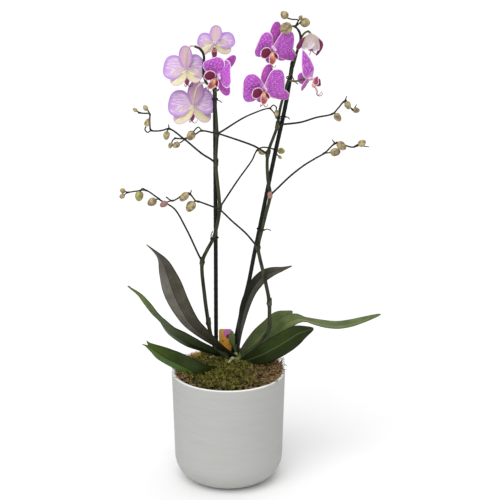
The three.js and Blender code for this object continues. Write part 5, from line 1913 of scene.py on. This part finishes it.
    def lip(self) -> Shape:
        """Returns the lip: two side lobes, a pointed middle lobe, the callus and two tendrils."""
        shapes = [self.side_lobe(sign, opened) for sign, opened in zip((-1, 1), self.lobes)]
        foot, end, face = (0, -4.4, 5.0), (-1.2, -15.8, 14.6), (0, 0.62, 0.78)
        width, finish = (self.middle_width_away, LIP_BACK) if self.away else (self.middle_width, LIP_MIDDLE)
        shapes.append(self.lobe(foot, end, face, width, Outline.SEPAL, 0.28, finish))
        knob = [(0.3, 0, -3.2), (1.9, 0, -2.2), (2.6, 0, 0), (2.0, 0, 2.2), (0.3, 0, 3.2)]
        axis = unit(self.at([0, -0.75, 0.65]) - self.middle)
        shapes.append(turned(knob, 14, self.at([-0.4, -6.6, 7.8]), axis, 14, LIP_FINISHES.index(CALLUS)))
        lines = []
        for sign in (-1, 1):
            route = [
                [sign * 0.4 - 1.1, -15.0, 13.8],
                [sign * 1.6 - 1.6, -16.8, 15.6],
                [sign * 3.4 - 2.4, -16.6, 18.2],
                [sign * 4.6 - 3.0, -14.2, 20.2],
                [sign * 4.4 - 3.2, -11.8, 20.2],
            ]
            lines.append(stem_line([self.at(place) for place in route], tapering(0.6, 0.28), 0.7))
        shapes.append(STEMS.grow(lines, LIP_FINISHES.index(TENDRIL), 6))
        return Shape.joined(shapes)

    def build(self) -> None:
        """Makes the bloom and its lip."""
        petal_back, dorsal_back, lateral_back = PETAL_BACK, SEPAL_BACK, LATERAL_BACK
        # The half-open bloom has cream sepal backs, and petal backs painted dark crimson as painted shade
        if self.cream:
            petal_back, dorsal_back, lateral_back = PETAL_PAINTED_SHADE, CREAM_BACK, CREAM_BACK
        behind, before = -0.7, 0.9
        shapes = [self.tepal(self.dorsal, Outline.SEPAL, behind, (SEPAL_FRONT, dorsal_back), 0.3)]
        for k, spec in enumerate(self.laterals):
            faces = (SEPAL_FRONT, lateral_back)
            shapes.append(self.tepal(spec, Outline.SEPAL, behind, faces, 1.1 + k, (1, -1)[k]))
        for k, (spec, kind) in enumerate(zip(self.petals, (self.near, Outline.PETAL))):
            shapes.append(self.tepal(spec, kind, before, (PETAL_FRONT, petal_back), 2.2 + 1.7 * k))
        shapes.append(self.column())
        stalk = stem_line([*self.stalk, tuple(self.middle - self.forward)], tapering(1.1, 1.35), 1.0)
        skin = BLOOM_FINISHES.index(PEDICEL_ROSE if self.away else PEDICEL)
        shapes.append(STEMS.grow([stalk], skin, 10))
        made(f"flower_{self.name}", Shape.joined(shapes), BLOOM_FINISHES, f"bloom_{self.name}", self.slot)
        made(f"flower_lip_{self.name}", self.lip(), LIP_FINISHES, f"lip_{self.name}", "lip")


BLOOMS = [
    Bloom("a", (-15, 19, 545), (0, 0.94, -0.34), [(-28, 8, 533), (-23.5, 9, 536.5), (-19, 12, 542)],
          Tepal((2.5, 12, 19), 15), (Tepal((-20, 10, 3.5), 19), Tepal((23.5, 10, 4), 20)),
          (Tepal((-18, 3, -9), 15), Tepal((19, 4, -10.5), 15)), "petal_back"),
    Bloom("b", (-48.5, 13, 515), (-0.08, 0.9, -0.42),
          [(-38, 8, 543.2), (-42.5, 7.6, 543.8), (-46, 5, 539.5), (-48, 4, 527), (-48.7, 7.5, 518.5)],
          Tepal((-1.5, 12, 26), 16.5), (Tepal((-27, 6.5, 2.5), 30), Tepal((21.5, 10, 4), 30)),
          (Tepal((-17, -3, -17.5), 17), Tepal((17, -1, -13), 17)), "petal_back"),
    Bloom("c", (-40.5, 19, 470), (-0.1, 0.9, -0.42),
          [(-23, 8, 498.5), (-29, 8, 500), (-35, 9, 495), (-39, 11.5, 482), (-40, 14.5, 474)],
          Tepal((4.5, 12, 28), 19.5), (Tepal((-30, 6, 3), 33), Tepal((24, 8, 7), 32)),
          (Tepal((-22.5, -3, -20), 18), Tepal((19, 3, -19), 18)), "petal_back"),
    Bloom("d", (-10, 5, 511), (0, -0.88, -0.47), [(-17.5, 9, 494.5), (-13, 10, 490), (-8.5, 11, 493),
                                                  (-7.5, 10.5, 502)],
          Tepal((19.5, 3, 21.5), 13),
          (Tepal((-9.5, -8, 20), 27), Tepal((14.5, -12, 3), 33, (-0.45, -0.8, 0.2))),
          (Tepal((-13, 12, -9), 14), Tepal((10.5, 2, -26.5), 14)), "petal_front", (1, 0.1)),
    Bloom("e", (53, -4, 545), (0.32, -0.87, -0.37), [(81, 14, 532), (74, 11, 541), (63, 4, 546)],
          Tepal((5.5, 2, 29.5), 15), (Tepal((-18, -7.5, 5), 35), Tepal((25, 9, -0.5), 42)),
          (Tepal((-3, 8.5, -21), 15), Tepal((27.5, 18.5, -17.5), 15)), "petal_front", (1, 0.1)),
    Bloom("f", (43, -4, 498), (0.32, -0.87, -0.37), [(66, 13.5, 481), (59, 11, 490), (50, 3.5, 498)],
          Tepal((6, -3, 27), 15), (Tepal((-25, -8, -2.5), 41), Tepal((25, 6, 3), 43)),
          (Tepal((-4, 8.5, -21), 15), Tepal((30, 19, -17.5), 16)), "petal_front", (1, 0.1)),
    Bloom("g", (97.5, 8, 557), (0.1, 0.15, -0.98), [(86, 12.5, 551), (90, 12.5, 557.5), (95, 10.5, 560.5)],
          Tepal((3, 13, -15), 20),
          (Tepal((-16, -6, -16), 7, (0, 1, 0), 2), Tepal((7, -4, -24), 6, (0, 1, 0), -8.5)),
          (Tepal((-6, -12, -15), 19), Tepal((7, -10.5, -17), 20)), "petal_half_open", arch=-0.26,
          cream=True),
    Bloom("h", (96.5, 6, 505.5), (0.93, -0.3, -0.2), [(72, 13.5, 502), (79, 11, 501), (86, 8, 503),
                                                      (91.5, 6.5, 505)],
          Tepal((1, 10, 23), 14), (Tepal((-9, -12, 37), 17, (0.35, -0.9, 0.2)), Tepal((-6, 20, 8), 30)),
          (Tepal((-10, -10, -12), 14), Tepal((-14, 4, -1), 15, (0.3, -0.9, 0.1))), "petal_front",
          near=Outline.POINTED),
]


# Ties and card


@dataclass
class Tie:
    """A covered wire that goes twice round a stake and a stem, with its ends twisted together."""

    name: str
    stake_at: tuple[float, float]
    stem_at: tuple[float, float]
    stem_radius: float
    z: float
    end: list[Point]
    wire: float = 0.6
    stake_radius: float = 2.35
    slack: float = 1.4
    turns: int = 2
    twist_steps: int = 26

    def build(self) -> None:
        """Makes the tie."""
        angle = np.linspace(0, 2 * np.pi * self.turns, 30 * self.turns)
        out = np.stack([np.cos(angle), np.sin(angle)], axis=-1)
        rounds = [(self.stake_at, self.stake_radius), (self.stem_at, self.stem_radius)]
        reach = np.stack([out @ np.array(at) + r + self.slack for at, r in rounds])
        pick = reach.argmax(axis=0)
        centres = np.array([self.stake_at, self.stem_at])[pick]
        radii = np.array([self.stake_radius, self.stem_radius])[pick] + self.slack - 0.3
        flat = centres + out * radii[:, None]
        loop = np.column_stack([flat, self.z + np.linspace(-0.6, 0.6, len(angle))])
        lines = [(loop, np.full(len(loop), self.wire * 0.8))]
        path = Path(self.end)
        share = np.linspace(0, 1, self.twist_steps)
        along = path.along(share)
        across = unit(np.cross(along, [0.3, 0.9, 0.2]))
        third = np.cross(along, across)
        for start in (0.0, math.pi):
            turn = start + share * path.length * 1.3
            offset = across * np.cos(turn)[:, None] + third * np.sin(turn)[:, None]
            lines.append((path.at(share) + offset * 0.42, np.full(len(share), self.wire * 0.62)))
        made(f"wire_tie_{self.name}", STEMS.grow(lines, 0, 6), [TIE], f"tie_{self.name}", "tie")


TIES = [
    Tie("left_low", (-15, 16), (-18, 10.5), 2.4, 307,
        [(-19.5, 7.2, 307), (-20.5, 6.5, 312), (-18.5, 6.5, 318)]),
    Tie("left_high", (-15, 16), (-15, 10.5), 2.1, 479, [(-12, 8.5, 479), (-9, 8, 478), (-6.5, 8, 476)]),
    Tie("right_low", (38.5, 23), (40.9, 17.4), 2.4, 316,
        [(43.5, 15.5, 316), (47, 14.5, 318), (52, 14, 316.5)]),
    Tie("right_mid", (66.1, 20.3), (60.6, 14), 2.1, 456,
        [(68.5, 18, 456), (71.5, 16.5, 456.5), (74, 16, 454)]),
    Tie("right_high", (73.8, 20), (72.6, 13.5), 1.9, 504.5,
        [(77, 18, 504.5), (79.5, 16.5, 500), (83.5, 16, 496.5)]),
]


@dataclass
class CareCard:
    """The printed card: a thin plate with round upper corners and a pointed foot."""

    at: tuple[float, float] = (-4.0, 31.0)
    width: float = 16.0
    height: float = 62.0
    thickness: float = 0.8
    top: float = 183.5
    corner: float = 2.5
    foot: float = 9.0
    foot_share: float = 0.4

    def build(self) -> None:
        """Makes the card."""
        middle = np.array([*self.at, self.top - self.height])

        def surface(t: Array, s: Array) -> Array:
            """Returns the card's middle plane."""
            z = self.height * t
            past = np.clip((z - self.height + self.corner) / self.corner, 0, 1)
            round_off = self.corner * (1 - np.sqrt(np.clip(1 - past**2, 0, 1)))
            point = np.clip((self.foot - z) / self.foot, 0, 1) * self.width * self.foot_share
            half = self.width / 2 - round_off - point
            return middle + np.stack([half * s, np.zeros_like(z), z], axis=-1)

        shape = blade(surface, self.thickness, 40, 8, (1, 0), None, 0.95)
        made("plant_card", shape, [CARD, CARD_BACK], "care_card", "card")


# Stage


@dataclass
class Studio:
    """Floor, lights and the camera of the photograph.

    Each soft light has a name, the direction that it comes from, watts a square metre and degrees across.
    """

    camera_at: tuple[float, float, float] = (26.7, -2000.0, 916.6)
    pitch: float = 17.24
    lens: float = 124.7
    sensor: float = 36.0
    floor_half: float = 6000.0
    surround: float = 0.6
    suns: tuple[tuple[str, Point, float, float], ...] = (
        ("key", (-0.32, -0.8, 1.0), 1.85, 55),
        ("top", (0.2, 0.3, 1.0), 0.5, 60),
    )

    def light(self) -> None:
        """Adds the even, soft lights from far away, and the white surround."""
        for name, toward, strength, spread in self.suns:
            data = bpy.data.lights.new(name, "SUN")
            data.energy = strength
            data.angle = math.radians(spread)
            placed(name, data).rotation_euler = Vector(toward).to_track_quat("Z", "Y").to_euler()
        world = bpy.data.worlds.new("surround")
        world.use_nodes = True
        background = world.node_tree.nodes["Background"].inputs
        background["Color"].default_value = linear("#FFFFFF")
        background["Strength"].default_value = self.surround
        bpy.context.scene.world = world

    def build(self) -> None:
        """Makes the floor, the lights, the pale surround and the camera."""
        scene = bpy.context.scene
        scene.view_settings.view_transform = "Standard"
        reach = self.floor_half * MM
        mesh = bpy.data.meshes.new("floor")
        corners = [(-reach, -reach, 0), (reach, -reach, 0), (reach, reach, 0), (-reach, reach, 0)]
        mesh.from_pydata(corners, [], [(0, 1, 2, 3)])
        mesh.materials.append(FLOOR.material())
        floor = placed("floor", mesh)
        self.light()
        data = bpy.data.cameras.new("camera")
        data.lens = self.lens
        data.sensor_width = self.sensor
        data.clip_end = 50.0
        camera = placed("camera", data)
        camera.location = Vector(self.camera_at) * MM
        camera.rotation_euler = (math.radians(90 - self.pitch), 0, 0)
        scene.camera = camera


def dress_hidden() -> None:
    """Gives the liner and the bark filling, which stay as the CAD has them, their finishes."""
    for node, finish in (("nursery_pot", LINER), ("bark_mix", BARK)):
        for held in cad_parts[node].material_slots:
            held.link = "OBJECT"
            held.material = finish.material()
        log.info("%s keeps its CAD mesh in %s", node, finish.name)


def main() -> None:
    """Builds every sub-assembly in order."""
    Studio().build()
    Pot().build()
    Filling().build()
    dress_hidden()
    Crown().build()
    for name in STAKES:
        Stake(name).build()
    for part in (*SPIKES, *SPRAYS, *ROOTS, *LEAVES, *BLOOMS, *TIES):
        part.build()
    CareCard().build()
    bpy.context.view_layer.update()


if __name__ == "__main__":
    main()
